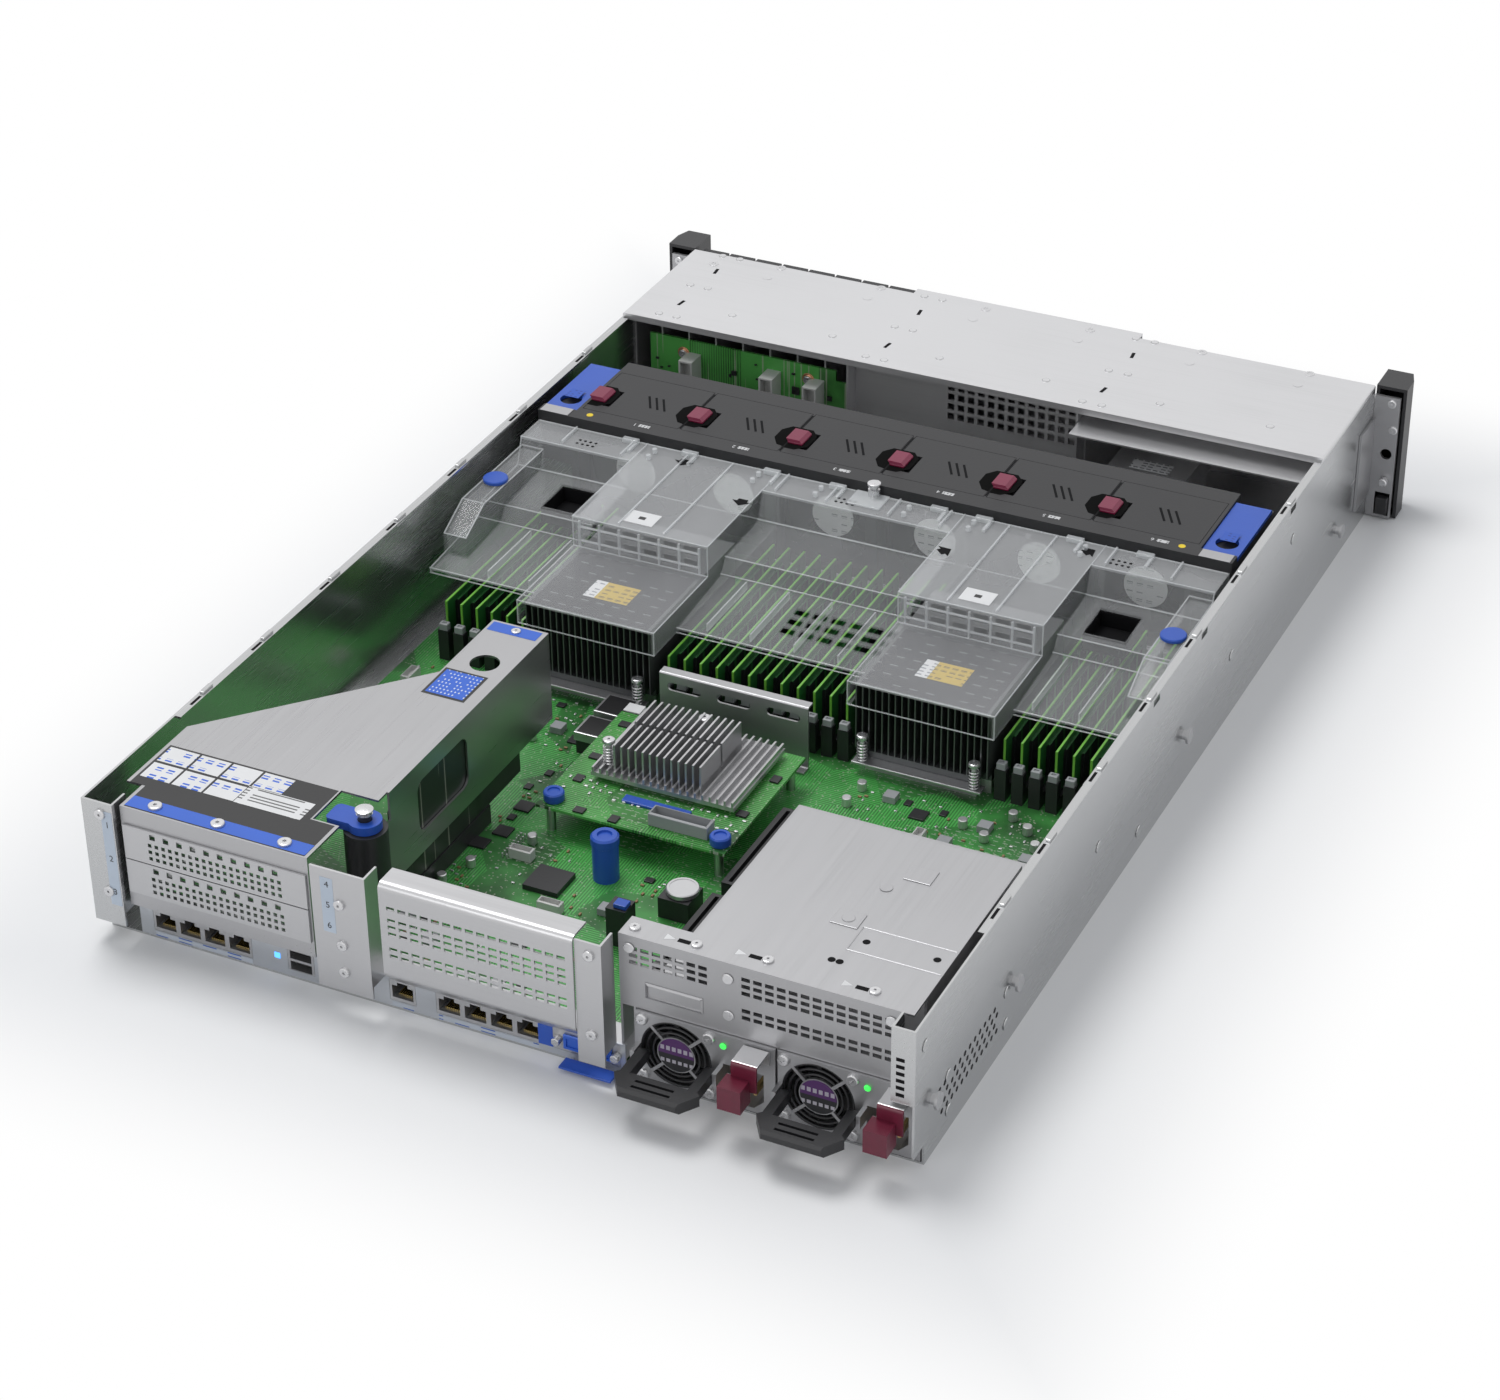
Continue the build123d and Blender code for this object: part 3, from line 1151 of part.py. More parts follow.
for number, centre_x in enumerate(psu_centres, start=1):
    body_y = (psu_face_y - psu_length, psu_face_y)
    body_z = (psu_floor_z, psu_floor_z + psu_height)
    fan_x = centre_x + psu_fan_shift
    inlet_x = centre_x + inlet_shift
    with BuildPart() as psu_body:
        block(around(centre_x, psu_width), body_y, body_z)
        face_plane = Plane.XZ.offset(-psu_face_y)
        with BuildSketch(face_plane):
            with Locations((fan_x, psu_mid_z)):
                Circle(psu_fan_bore / 2)
        extrude(amount=psu_fan_depth, mode=Mode.SUBTRACT)
        with BuildSketch(face_plane):
            with Locations((fan_x, psu_mid_z)):
                Circle(guard_disc)
                Rectangle(psu_fan_bore + guard_bar, guard_bar, rotation=45)
                Rectangle(psu_fan_bore + guard_bar, guard_bar, rotation=-45)
        extrude(amount=guard_depth)
        with BuildSketch(face_plane):
            with Locations((inlet_x, inlet_z)):
                inlet_shape = Rectangle(inlet_size, inlet_size)
                chamfer(inlet_shape.vertices().group_by(Axis.Y)[0], length=inlet_corner)
        extrude(amount=inlet_depth, mode=Mode.SUBTRACT)
        for lug_side in (1, -1):
            lug_x = centre_x + handle_shift + lug_side * (handle_width / 2 - lug_width / 2)
            block(around(lug_x, lug_width), (psu_face_y, pivot_y + lug_size / 2), around(handle_z, lug_size))
    save(psu_body, f"psu_{number}_body")

    with BuildPart() as psu_handle:
        inner_half = handle_width / 2 - lug_width - running_gap
        outer_y = pivot_y + handle_reach
        arm_start = centre_x + handle_shift
        with BuildSketch(Plane.XY.offset(handle_z - handle_thickness / 2)):
            with BuildLine():
                Polyline(
                    (arm_start - inner_half, pivot_y),
                    (arm_start - inner_half, outer_y - handle_bar),
                    (arm_start - inner_half - lug_width, outer_y - handle_bar + lug_width),
                    (arm_start - inner_half + handle_arm, outer_y),
                    (arm_start + inner_half - handle_arm, outer_y),
                    (arm_start + inner_half + lug_width, outer_y - handle_bar + lug_width),
                    (arm_start + inner_half, outer_y - handle_bar),
                    (arm_start + inner_half, pivot_y),
                    (arm_start + inner_half - handle_arm, pivot_y),
                    (arm_start + inner_half - handle_arm, outer_y - handle_bar),
                    (arm_start - inner_half + handle_arm, outer_y - handle_bar),
                    (arm_start - inner_half + handle_arm, pivot_y),
                    close=True,
                )
            make_face()
        extrude(amount=handle_thickness)
        for arm_side in (1, -1):
            arm_x = arm_start + arm_side * (inner_half - handle_arm / 2)
            with Locations(Plane(origin=(arm_x, pivot_y, handle_z), z_dir=(1, 0, 0))):
                Cylinder(handle_thickness / 2, handle_arm)
        bar_edges = psu_handle.edges().filter_by(Axis.X).group_by(Axis.Y)[-1]
        chamfer(bar_edges, length=handle_thickness / 4)
        grip_y = outer_y - handle_bar / 2
        for groove in (-1, 1):
            groove_y = around(grip_y + groove * handle_bar / 6, guard_bar)
            groove_z = (handle_z + handle_thickness / 4, handle_z + handle_thickness / 2)
            block(around(arm_start, inner_half), groove_y, groove_z, Mode.SUBTRACT)
    save(psu_handle, f"psu_{number}_handle")

    clip_x = centre_x + clip_shift
    with BuildPart() as psu_latch:
        clip_line = [
            (psu_face_y + seat_gap + sheet, clip_z - lug_size / 2),
            (psu_face_y + seat_gap + sheet, clip_z + lug_size / 2),
            (psu_face_y + clip_reach, clip_z + lug_size / 2),
            (psu_face_y + clip_reach, clip_z - tab_drop),
        ]
        folded_sheet(Plane.YZ.offset(clip_x - clip_width / 2), clip_line, sheet / 2, clip_width)
        tab_y = (psu_face_y + clip_reach, psu_face_y + clip_reach + tab_length)
        block(around(clip_x + tab_width / 4, tab_width), tab_y, around(clip_z - tab_drop, tab_height))
    save(psu_latch, f"psu_{number}_latch")

    with BuildPart() as psu_rotor:
        psu_rotor_y = (psu_face_y - psu_fan_depth + exhaust_gap, psu_face_y - guard_depth - exhaust_gap)
        with BuildSketch(Plane.XZ.offset(-psu_rotor_y[1])):
            with Locations((fan_x, psu_mid_z)):
                Circle(psu_hub_radius)
        extrude(amount=psu_rotor_y[1] - psu_rotor_y[0])
        blade_tip = psu_fan_bore / 2 - blade_gap
        rotor_middle = (fan_x, sum(psu_rotor_y) / 2, psu_mid_z)
        rotor_plane = Plane(origin=rotor_middle, x_dir=(1, 0, 0), z_dir=(0, -1, 0))
        with Locations(rotor_plane):
            with PolarLocations((blade_tip + psu_hub_radius - blade_root) / 2, rotor_blades):
                with Locations(Rot(X=blade_pitch)):
                    Box(blade_tip - psu_hub_radius + blade_root, sheet, psu_blade_chord)
    save(psu_rotor, f"psu_{number}_rotor")
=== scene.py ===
# %% [markdown]
# # A two-unit rack server with its cover off
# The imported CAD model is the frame: steel tray, cages, boards and everything that moves.
# These cells dress it.  Each piece of sheet, plastic and board gets a finish made of shader
# nodes, and the small things that CAD left out (screws, labels, chips, springs, pins) are
# modelled with Blender's own mesh tools and hung on the body that carries them.

# %% Load the frame
import bpy
import math
import random
from mathutils import Matrix, Vector


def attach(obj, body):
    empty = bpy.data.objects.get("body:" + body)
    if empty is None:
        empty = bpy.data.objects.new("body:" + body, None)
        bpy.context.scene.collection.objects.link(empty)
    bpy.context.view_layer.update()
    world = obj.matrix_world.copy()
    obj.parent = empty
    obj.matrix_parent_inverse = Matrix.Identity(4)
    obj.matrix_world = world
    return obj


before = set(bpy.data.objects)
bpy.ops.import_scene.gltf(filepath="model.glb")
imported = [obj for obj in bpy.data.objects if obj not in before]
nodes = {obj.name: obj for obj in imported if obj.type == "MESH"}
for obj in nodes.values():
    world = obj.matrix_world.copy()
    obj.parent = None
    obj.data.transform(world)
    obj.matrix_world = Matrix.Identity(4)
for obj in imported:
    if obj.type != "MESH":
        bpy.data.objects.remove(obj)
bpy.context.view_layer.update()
chance = random.Random(7)


# %% [markdown]
# ## Shader arithmetic
# A finish is a small sum: take the place on the piece, stretch it, turn it into noise, and
# let the noise shift a colour or a roughness.  Wiring that by hand hides the sum, so one class
# wraps a socket and writes its Math nodes when it is added, multiplied or compared.

# %% A socket that can be used in a sum
class Amount:
    """A value that changes over a surface."""

    def __init__(self, wiring, socket):
        self.wiring = wiring
        self.socket = socket

    def math(self, operation, other=None, swapped=False):
        terms = [self] if other is None else [self, other]
        if swapped:
            terms.reverse()
        return self.wiring.add("ShaderNodeMath", {"operation": operation}, dict(enumerate(terms)))

    def __add__(self, other):
        return self.math("ADD", other)

    def __sub__(self, other):
        return self.math("SUBTRACT", other)

    def __rsub__(self, other):
        return self.math("SUBTRACT", other, True)

    def __mul__(self, other):
        return self.math("MULTIPLY", other)

    __radd__ = __add__
    __rmul__ = __mul__

    def __gt__(self, edge):
        return self.math("GREATER_THAN", edge)

    def __lt__(self, edge):
        return self.math("LESS_THAN", edge)

    def larger(self, other):
        return self.math("MAXIMUM", other)

    def size(self):
        return self.math("ABSOLUTE")

    def whole(self):
        return self.math("FLOOR")

    def fraction(self):
        return self.math("FRACT")

    def within(self, low, high):
        """1 between two limits and 0 outside them."""
        return (self > low) * (self < high)


# %% The one way that nodes are added, and a material that is built with it
class Wiring:
    """A node tree."""

    def __init__(self, tree):
        self.tree = tree

    def add(self, kind, settings=None, inputs=None, out=0):
        node = self.tree.nodes.new(kind)
        for key, setting in (settings or {}).items():
            setattr(node, key, setting)
        for key, value in (inputs or {}).items():
            if isinstance(value, Amount):
                self.tree.links.new(value.socket, node.inputs[key])
            else:
                node.inputs[key].default_value = value
        return Amount(self, node.outputs[out])

    def end_with(self, blend, output):
        self.tree.links.new(blend.socket, self.tree.nodes[output].inputs[0])

    def backdrop_rays(self):
        """1 for rays that look for the background: straight, in a mirror or through glass."""
        kinds = ("Is Camera Ray", "Is Glossy Ray", "Is Transmission Ray")
        straight, mirrored, through = [self.add("ShaderNodeLightPath", out=kind) for kind in kinds]
        return straight.larger(mirrored).larger(through)


class Finish(Wiring):
    """A material under construction."""

    def __init__(self, name, colour, roughness=0.5, metallic=0.0):
        self.material = bpy.data.materials.new(name)
        self.material.use_nodes = True
        super().__init__(self.material.node_tree)
        self.shader = self.tree.nodes["Principled BSDF"]
        self.set("Base Color", (*colour, 1.0))
        self.set("Roughness", roughness)
        self.set("Metallic", metallic)
        self.place = self.add("ShaderNodeTexCoord", out="Object")

    def set(self, socket, value):
        self.shader.inputs[socket].default_value = value

    def feed(self, socket, value):
        self.tree.links.new(value.socket, self.shader.inputs[socket])

    def stretched(self, scale):
        return self.add("ShaderNodeMapping", None, {"Vector": self.place, "Scale": scale})

    def axis(self, letter, shift=0.0):
        """How far along X, Y or Z a point is, in metres from a place on the piece."""
        return self.add("ShaderNodeSeparateXYZ", None, {0: self.place}, letter) - shift

    def noise(self, scale, detail=2.0, vector=None):
        inputs = {"Vector": vector or self.place, "Scale": scale, "Detail": detail}
        return self.add("ShaderNodeTexNoise", None, inputs, "Fac")

    def cells(self, scale, vector=None, out="Distance"):
        inputs = {"Vector": vector or self.place, "Scale": scale}
        return self.add("ShaderNodeTexVoronoi", None, inputs, out)

    def mix(self, share, first, second):
        """A colour between two others."""
        colours = [part if isinstance(part, Amount) else (*part, 1.0) for part in (first, second)]
        inputs = {0: share, 6: colours[0], 7: colours[1]}
        return self.add("ShaderNodeMix", {"data_type": "RGBA"}, inputs, 2)

    def bump(self, height, depth, strength):
        inputs = {"Height": height, "Distance": depth, "Strength": strength}
        self.feed("Normal", self.add("ShaderNodeBump", None, inputs))


def tinted(colour, gain):
    """The same colour, lighter or darker."""
    return tuple(min(1.0, part * gain) for part in colour)


# %% [markdown]
# ## Sheet steel
# Nearly all of the case is zinc-coated or stainless sheet.  Up close such a sheet shows a soft
# cloudiness, and a grain along the way it was rolled.  Noise squeezed hard across the grain
# gives that, once in the colour and once more in the roughness, so that highlights break up.

# %% Rolled sheet
def rolled_sheet(name, colour, roughness, grain=(1, 60, 60), cloud=0.10, metallic=0.85):
    """Grain says how much the noise is squeezed along each axis, cloud how far the grey wanders."""
    steel = Finish(name, colour, roughness, metallic)
    streaks = steel.noise(14.0, 3.0, steel.stretched(grain))
    clouds = steel.noise(9.0, 3.0)
    shade = clouds * cloud + streaks * cloud * 1.3 + (1.0 - cloud * 1.15)
    dark, light = tinted(colour, 0.62), tinted(colour, 1.12)
    steel.feed("Base Color", steel.mix((shade - 0.5) * 2.0, dark, light))
    steel.feed("Roughness", streaks * 0.16 + clouds * 0.10 + (roughness - 0.13))
    steel.bump(streaks, 0.00001, 0.4)
    return steel.material


def grey(level, blue=0.01):
    """A steel grey with a breath of blue."""
    return (level, level, level + blue)


grainless = (30, 30, 30)
tray_steel = rolled_sheet("tray_steel", (0.47, 0.475, 0.48), 0.25, (60, 1, 60), 0.10, 0.95)
roof_steel = rolled_sheet("roof_steel", grey(0.56), 0.42, (1, 90, 90), 0.16)
cage_steel = rolled_sheet("cage_steel", grey(0.37), 0.40, (60, 1, 60), 0.14)
bright_steel = rolled_sheet("bright_steel", grey(0.45), 0.33, (1, 70, 70), 0.10)
panel_steel = rolled_sheet("panel_steel", (0.48, 0.50, 0.53), 0.36, (1, 60, 60), 0.12)
riser_steel = rolled_sheet("riser_steel", grey(0.39), 0.30, (70, 1, 70), 0.08, 0.95)
screw_steel = rolled_sheet("screw_steel", grey(0.56), 0.28, grainless, 0.08)


# %% [markdown]
# ## Cooling fins
# The fins are thin aluminium with a dull, slightly uneven skin, and it is dark between them.  On the
# processor coolers the fins themselves are made dark grey: painted shade of the narrow gaps.

# %% Fins
def finned(name, colour, roughness):
    fins = Finish(name, colour, roughness, 0.8)
    patches = fins.noise(30.0, 3.0)
    fins.feed("Base Color", fins.mix(patches, tinted(colour, 0.7), tinted(colour, 1.15)))
    fins.feed("Roughness", patches * 0.2 + (roughness - 0.1))
    return fins.material


# Painted shade: the processor coolers' fins are darkened to stand for the shade between them.
fins_painted_shade = finned("fins_painted_shade", (0.16, 0.165, 0.17), 0.42)
bright_fins = finned("bright_fins", grey(0.50), 0.34)


# %% [markdown]
# ## Moulded plastic
# Injection-moulded housings have a fine spark-eroded texture: a bump of small cells, and a
# roughness that wanders a little where hands have polished the piece.

# %% Moulded plastic
polish = 0.12
texture_depth = 0.00004


def moulded(name, colour, roughness=0.5, cell=900.0, gloss=0.5):
    """Cell is how many cells of the texture there are in a metre."""
    plastic = Finish(name, colour, roughness)
    plastic.set("Specular IOR Level", gloss)
    wander = plastic.noise(22.0, 3.0)
    plastic.feed("Base Color", plastic.mix(wander, tinted(colour, 0.82), tinted(colour, 1.12)))
    plastic.feed("Roughness", wander * polish + (roughness - polish / 2))
    plastic.bump(plastic.cells(cell), texture_depth, 0.6)
    return plastic.material


press_blue = (0.03, 0.13, 0.62)
black_plastic = moulded("black_plastic", (0.018, 0.018, 0.02), 0.42)
charcoal_plastic = moulded("charcoal_plastic", (0.028, 0.028, 0.030), 0.46, gloss=0.36)
fan_plastic = moulded("fan_plastic", (0.028, 0.028, 0.030), 0.44, gloss=0.34)
shadow_black = moulded("shadow_black", (0.008, 0.008, 0.009), 0.7, gloss=0.08)
# Painted shade: the near-black, almost glossless film laid in the fans' finger wells.
well_painted_shade = moulded("well_painted_shade", (0.004, 0.004, 0.004), 0.8, 300.0, gloss=0.04)
label_black = moulded("label_black", (0.010, 0.010, 0.011), 0.38, 300.0)
blue_plastic = moulded("blue_plastic", (0.022, 0.095, 0.50), 0.36)
signal_blue = moulded("signal_blue", press_blue, 0.42)
burgundy_plastic = moulded("burgundy_plastic", (0.20, 0.006, 0.045), 0.36)
ivory_plastic = moulded("ivory_plastic", (0.62, 0.62, 0.60), 0.45)
grey_plastic = moulded("grey_plastic", (0.34, 0.35, 0.36), 0.5)
plain_white = moulded("plain_white", (0.78, 0.78, 0.78), 0.5, 400.0)


# %% [markdown]
# ## Circuit board
# Under the green lacquer lie copper tracks, which lift the lacquer a little and make it paler.
# Tracks run in bundles along two directions.  A cell pattern decides which way a patch of
# board runs, and stripes of that direction are drawn in it.  Tin dots are small vias, and
# here and there the outline of a part is printed in pale ink.

# %% Circuit board
tracks_per_metre = 620.0
flat = (1, 1, 0.01)


def circuit_board(name, colour, track_gain=1.45, steel_below=None):
    """Board with tracks and vias; what lies below a height, such as its posts, is steel."""
    board = Finish(name, colour, 0.34)
    bundle = board.cells(28.0, board.stretched(flat), "Color")
    pick = board.add("ShaderNodeSeparateXYZ", None, {0: bundle}, "X")
    along = (board.axis("X") * tracks_per_metre).fraction()
    across = (board.axis("Y") * tracks_per_metre).fraction()
    tracks = (pick > 0.62) * (along > 0.5) + (pick < 0.30) * (across > 0.5)
    vias = board.cells(420.0, board.stretched(flat)) < 0.22
    fields = board.noise(30.0, 5.0)
    lacquer = board.mix((fields - 0.5) * 3.0 + 0.5, tinted(colour, 0.34), tinted(colour, 1.40))
    traced = board.mix(tracks * 0.85, lacquer, tinted(colour, track_gain))
    wide = (board.axis("X") * 190.0).fraction().within(0.10, 0.62)
    tall = (board.axis("Y") * 260.0).fraction().within(0.30, 0.42)
    outlined = board.mix(wide * tall * pick.within(0.40, 0.52) * 0.8, traced, (0.42, 0.50, 0.40))
    surface = board.mix(vias * 0.5, outlined, (0.50, 0.50, 0.42))
    if steel_below is not None:
        posts = board.axis("Z") < steel_below
        board.feed("Metallic", posts)
        surface = board.mix(posts, surface, (0.5, 0.5, 0.5))
    board.feed("Base Color", surface)
    board.feed("Roughness", fields * 0.15 + 0.28)
    board.bump(tracks, 0.00003, 0.5)
    return board.material


controller_height = 0.0209
green_board = circuit_board("green_board", (0.042, 0.220, 0.045), 2.3)
bright_board = circuit_board("bright_board", (0.045, 0.200, 0.040), 2.2)
controller_board = circuit_board("controller_board", (0.045, 0.200, 0.040), 2.2, controller_height)
black_board = circuit_board("black_board", (0.012, 0.015, 0.013))
print("finishes so far:", len(bpy.data.materials))


# %% [markdown]
# ## Clear sheet
# The air baffle is a vacuum-formed clear plastic.  It is made with alpha and not with
# refraction: a thin sheet hardly bends light, so what shows is a pale film and its gloss.

# %% Clear sheet
duct_top_height = 0.0762


def clear(name, colour, alpha, waves=0.08, painted_top_reflection=0.0):
    """A see-through plastic: how much of it shows wanders, and the duct tops may show more of the pale film,
    as a painted reflection.
    """
    sheet = Finish(name, colour, 0.08)
    wave = sheet.noise(12.0, 3.0)
    # Painted reflection: above this height more of the pale film shows, so the duct tops look lighter.
    duct_top = sheet.axis("Z") > duct_top_height
    sheet.feed("Alpha", wave * waves + duct_top * painted_top_reflection + (alpha - waves / 2))
    sheet.feed("Roughness", wave * 0.08 + 0.04)
    sheet.bump(wave, 0.0004, 0.25)
    return sheet.material


# The duct tops get more of the film: painted reflection of the bright room.
clear_sheet = clear("clear_sheet", (0.95, 0.96, 0.97), 0.115, 0.08, 0.17)
# Paler and less see-through: painted highlight on the rods along the baffle's folds and rims, and the same
# paler plastic on its ribs, hooks, pegs and pad.
paler_clear_with_rim_highlight = clear("paler_clear_with_rim_highlight", (0.90, 0.92, 0.93), 0.34, 0.3)


# %% [markdown]
# ## Memory modules
# A memory module is one shape in CAD, its chips a single block on each face.  The finish tells
# them apart: bare board above and below, and dark chips with gaps between along the block.

# %% Memory
module_middle_y = -0.018
chips_per_metre = 84.0
contacts_per_metre = 900.0
chip_rows = (0.0165, 0.0360)
memory = Finish("memory_module", (0.02, 0.12, 0.03), 0.38)
height = memory.axis("Z")
run = memory.axis("Y", module_middle_y)
chips = height.within(*chip_rows) * (run * chips_per_metre).fraction().within(0.10, 0.90)
chips = chips * (run.size() < 0.0600)
gold = (height < 0.0115) * ((run * contacts_per_metre).fraction() > 0.4)
edge = (height > 0.0397) + (run.size() > 0.0664)
green = memory.mix(memory.noise(60.0), (0.012, 0.085, 0.018), (0.025, 0.16, 0.035))
bare = memory.mix(edge, green, (0.16, 0.46, 0.05))
dressed = memory.mix(chips, bare, (0.015, 0.015, 0.017))
memory.feed("Base Color", memory.mix(gold, dressed, (0.7, 0.5, 0.15)))
memory.feed("Roughness", 0.34 + chips * 0.12)
memory.feed("Metallic", gold * 0.9)


# %% Give every CAD node its finish
fan_numbers = range(1, 7)
finishes = {
    tray_steel: "chassis_tray",
    roof_steel: "drive_bay_roof bay_frame media_bay sff_drive_cage",
    cage_steel: "psu_cage psu_1_body psu_2_body mezzanine_bracket rack_ear_right rack_ear_left",
    bright_steel: "rail_studs rear_ports cpu_sockets rear_brackets slot_blanks",
    panel_steel: "rear_io_panel",
    riser_steel: "riser_cage",
    fins_painted_shade: "cpu_heatsink_1 cpu_heatsink_2",
    bright_fins: "storage_controller_heatsink",
    black_plastic: "dimm_sockets card_connectors board_parts riser_latch_post ear_cover_right"
    " ear_cover_left psu_1_handle psu_2_handle psu_1_rotor psu_2_rotor",
    charcoal_plastic: "ear_lever_right ear_lever_left power_button drive_blanks fan_cage",
    fan_plastic: " ".join(f"fan_module_{number} fan_rotor_{number}" for number in fan_numbers),
    blue_plastic: "riser_latch fan_cage_lever_right fan_cage_lever_left",
    burgundy_plastic: "psu_1_latch psu_2_latch",
    ivory_plastic: "backplane_sockets",
    green_board: "system_board",
    bright_board: "drive_backplane",
    controller_board: "storage_controller",
    black_board: "riser_board",
    clear_sheet: "air_baffle",
    memory.material: "dimm_modules",
}


def dress(node, finish):
    for slot in nodes[node].material_slots:
        slot.material = finish


for finish, names in finishes.items():
    for name in names.split():
        dress(name, finish)
print("finished nodes:", sum(len(names.split()) for names in finishes.values()))


# %% [markdown]
# ## Floor, light and camera
# The floor is pale and takes the shadow near the case, and turns to plain white further out.
# Three broad lamps and a bright room stand in for a studio.  The camera stands behind and above
# the rear right corner with a long lens, which keeps the case's edges nearly parallel.

# %% Floor
case_half = {"X": 0.235, "Y": 0.36}
bpy.ops.object.select_all(action="DESELECT")
bpy.ops.mesh.primitive_circle_add(vertices=96, radius=9.0, fill_type="NGON", location=(0, 0, 0))
floor = bpy.context.object
floor.name = "floor"
ground = Finish("floor_paint", (0.86, 0.86, 0.86), 0.9)
beside, beyond = [ground.axis(letter).size() - half for letter, half in case_half.items()]
fade = ground.add("ShaderNodeMapRange", {"interpolation_type": "SMOOTHSTEP"},
                  {"Value": beside.larger(beyond), "From Max": 0.15})
white = ground.add("ShaderNodeEmission", None, {"Color": (1, 1, 1, 1), "Strength": 1.0})
painted = Amount(ground, ground.shader.outputs[0])
blend = ground.add("ShaderNodeMixShader", None, {0: ground.backdrop_rays() * fade, 1: painted, 2: white})
ground.end_with(blend, "Material Output")
floor.data.materials.append(ground.material)

# %% Room
room = bpy.data.worlds.new("room")
bpy.context.scene.world = room
room.use_nodes = True
air = Wiring(room.node_tree)
background = room.node_tree.nodes["Background"]
background.inputs[0].default_value = (0.92, 0.95, 1.0, 1.0)
background.inputs[1].default_value = 0.50
soft = Amount(air, background.outputs[0])
plain = air.add("ShaderNodeBackground", None, {0: (1, 1, 1, 1)})
choice = air.add("ShaderNodeMixShader", None, {0: air.backdrop_rays(), 1: soft, 2: plain})
air.end_with(choice, "World Output")

# %% Lamps
lamps = (
    ("key_lamp", (0.9, -0.3, 2.6), (0, 0, 0), 1.3, 34.0),
    ("rear_lamp", (0.7, 2.9, 1.5), (0, 0.2, 0), 1.6, 13.0),
    ("side_lamp", (-2.4, -1.2, 1.1), (0, -0.2, 0), 1.2, 2.5),
)
for name, place, target, size, power in lamps:
    lamp = bpy.data.lights.new(name, "AREA")
    lamp.shape = "DISK"
    lamp.size = size
    lamp.energy = power
    holder = bpy.data.objects.new(name, lamp)
    bpy.context.collection.objects.link(holder)
    holder.location = place
    holder.rotation_euler = (Vector(target) - Vector(place)).to_track_quat("-Z", "Y").to_euler()
print("lamps:", len(lamps))

# %% Camera
lens_mm = 86.87
sensor_mm = 36.0
camera_place = (-0.71688, 1.52772, 1.07404)
camera_right = (-0.90148794, -0.43269281, -0.00981947)
camera_up = (0.22515925, -0.48823962, 0.84316391)
camera_back = (-0.36962522, 0.75789116, 0.53756692)
camera_data = bpy.data.cameras.new("camera")
camera_data.lens = lens_mm
camera_data.sensor_width = sensor_mm
camera_data.clip_end = 50.0
camera = bpy.data.objects.new("camera", camera_data)
bpy.context.collection.objects.link(camera)
turned = Matrix((camera_right, camera_up, camera_back)).transposed().to_4x4()
camera.matrix_world = Matrix.Translation(camera_place) @ turned
bpy.context.scene.camera = camera
bpy.context.scene.view_settings.view_transform = "Standard"

# %% [markdown]
# ## The workshop
# Small pieces are made the way a hand would make them in Blender: add a primitive, go into edit
# mode, pick faces by where they point, then inset, extrude or bevel.  A few helpers hold the
# steps that every piece shares: starting clean, picking faces, sinking a socket, and settling
# the piece on the body that carries it with its place written into the mesh.

# %% Millimetres and a clean start
mm = 0.001
up, rearward = Vector((0, 0, 1)), Vector((0, 1, 0))
sides = {"right": 1, "left": -1}
both = (1, -1)


def at(x, y, z):
    """A place given in millimetres."""
    return Vector((x, y, z)) * mm


def level(z, *spots):
    """Places at one height."""
    return [(x, y, z) for x, y in spots]


def upright(y, *spots):
    """Places on a sheet that stands across the case."""
    return [(x, y, z) for x, z in spots]


def start():
    bpy.ops.object.select_all(action="DESELECT")


def mode(name):
    bpy.ops.object.mode_set(mode=name)


def settled():
    """Write the active object's place, turn and size into its mesh."""
    bpy.ops.object.transform_apply(location=True, rotation=True, scale=True)
    return bpy.context.object


def picked(way, squareness=0.9, area=0.0):
    """In edit mode, select only the faces that look one way and are larger than an area."""
    bpy.ops.mesh.select_mode(type="FACE")
    bpy.ops.mesh.select_all(action="DESELECT")
    mode("OBJECT")
    for face in bpy.context.object.data.polygons:
        face.select = face.normal.dot(way) > squareness and face.area > area
    mode("EDIT")


def sunk(piece, way, rim, depth, squareness=0.9, area=0.0):
    """Inset the faces that look one way by a rim and push them in, as for a socket."""
    mode("EDIT")
    picked(way, squareness, area)
    bpy.ops.mesh.inset(thickness=rim * mm)
    bpy.ops.mesh.extrude_region_move(TRANSFORM_OT_translate={"value": way * (-depth * mm)})
    mode("OBJECT")
    return piece


def turned_out():
    """Turn all faces of the piece in edit mode outwards, and leave edit mode."""
    bpy.ops.mesh.select_all(action="SELECT")
    bpy.ops.mesh.normals_make_consistent(inside=False)
    mode("OBJECT")


def bevelled(piece, width, segments=2):
    soften = piece.modifiers.new("soften", "BEVEL")
    soften.width = width * mm
    soften.segments = segments
    soften.limit_method = "ANGLE"
    bpy.ops.object.modifier_apply(modifier=soften.name)
    return piece


def carried(piece, name, finish, body="chassis"):
    """Name a piece, give it its finish and hang it on a body."""
    piece.name = name
    piece.data.name = name
    piece.data.materials.clear()
    piece.data.materials.append(finish)
    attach(piece, body)
    return piece


# %% A softened block, a round bar, a ring and a rod
axis_turns = {"Z": (0, 0, 0), "Y": (math.pi / 2, 0, 0), "X": (0, math.pi / 2, 0)}


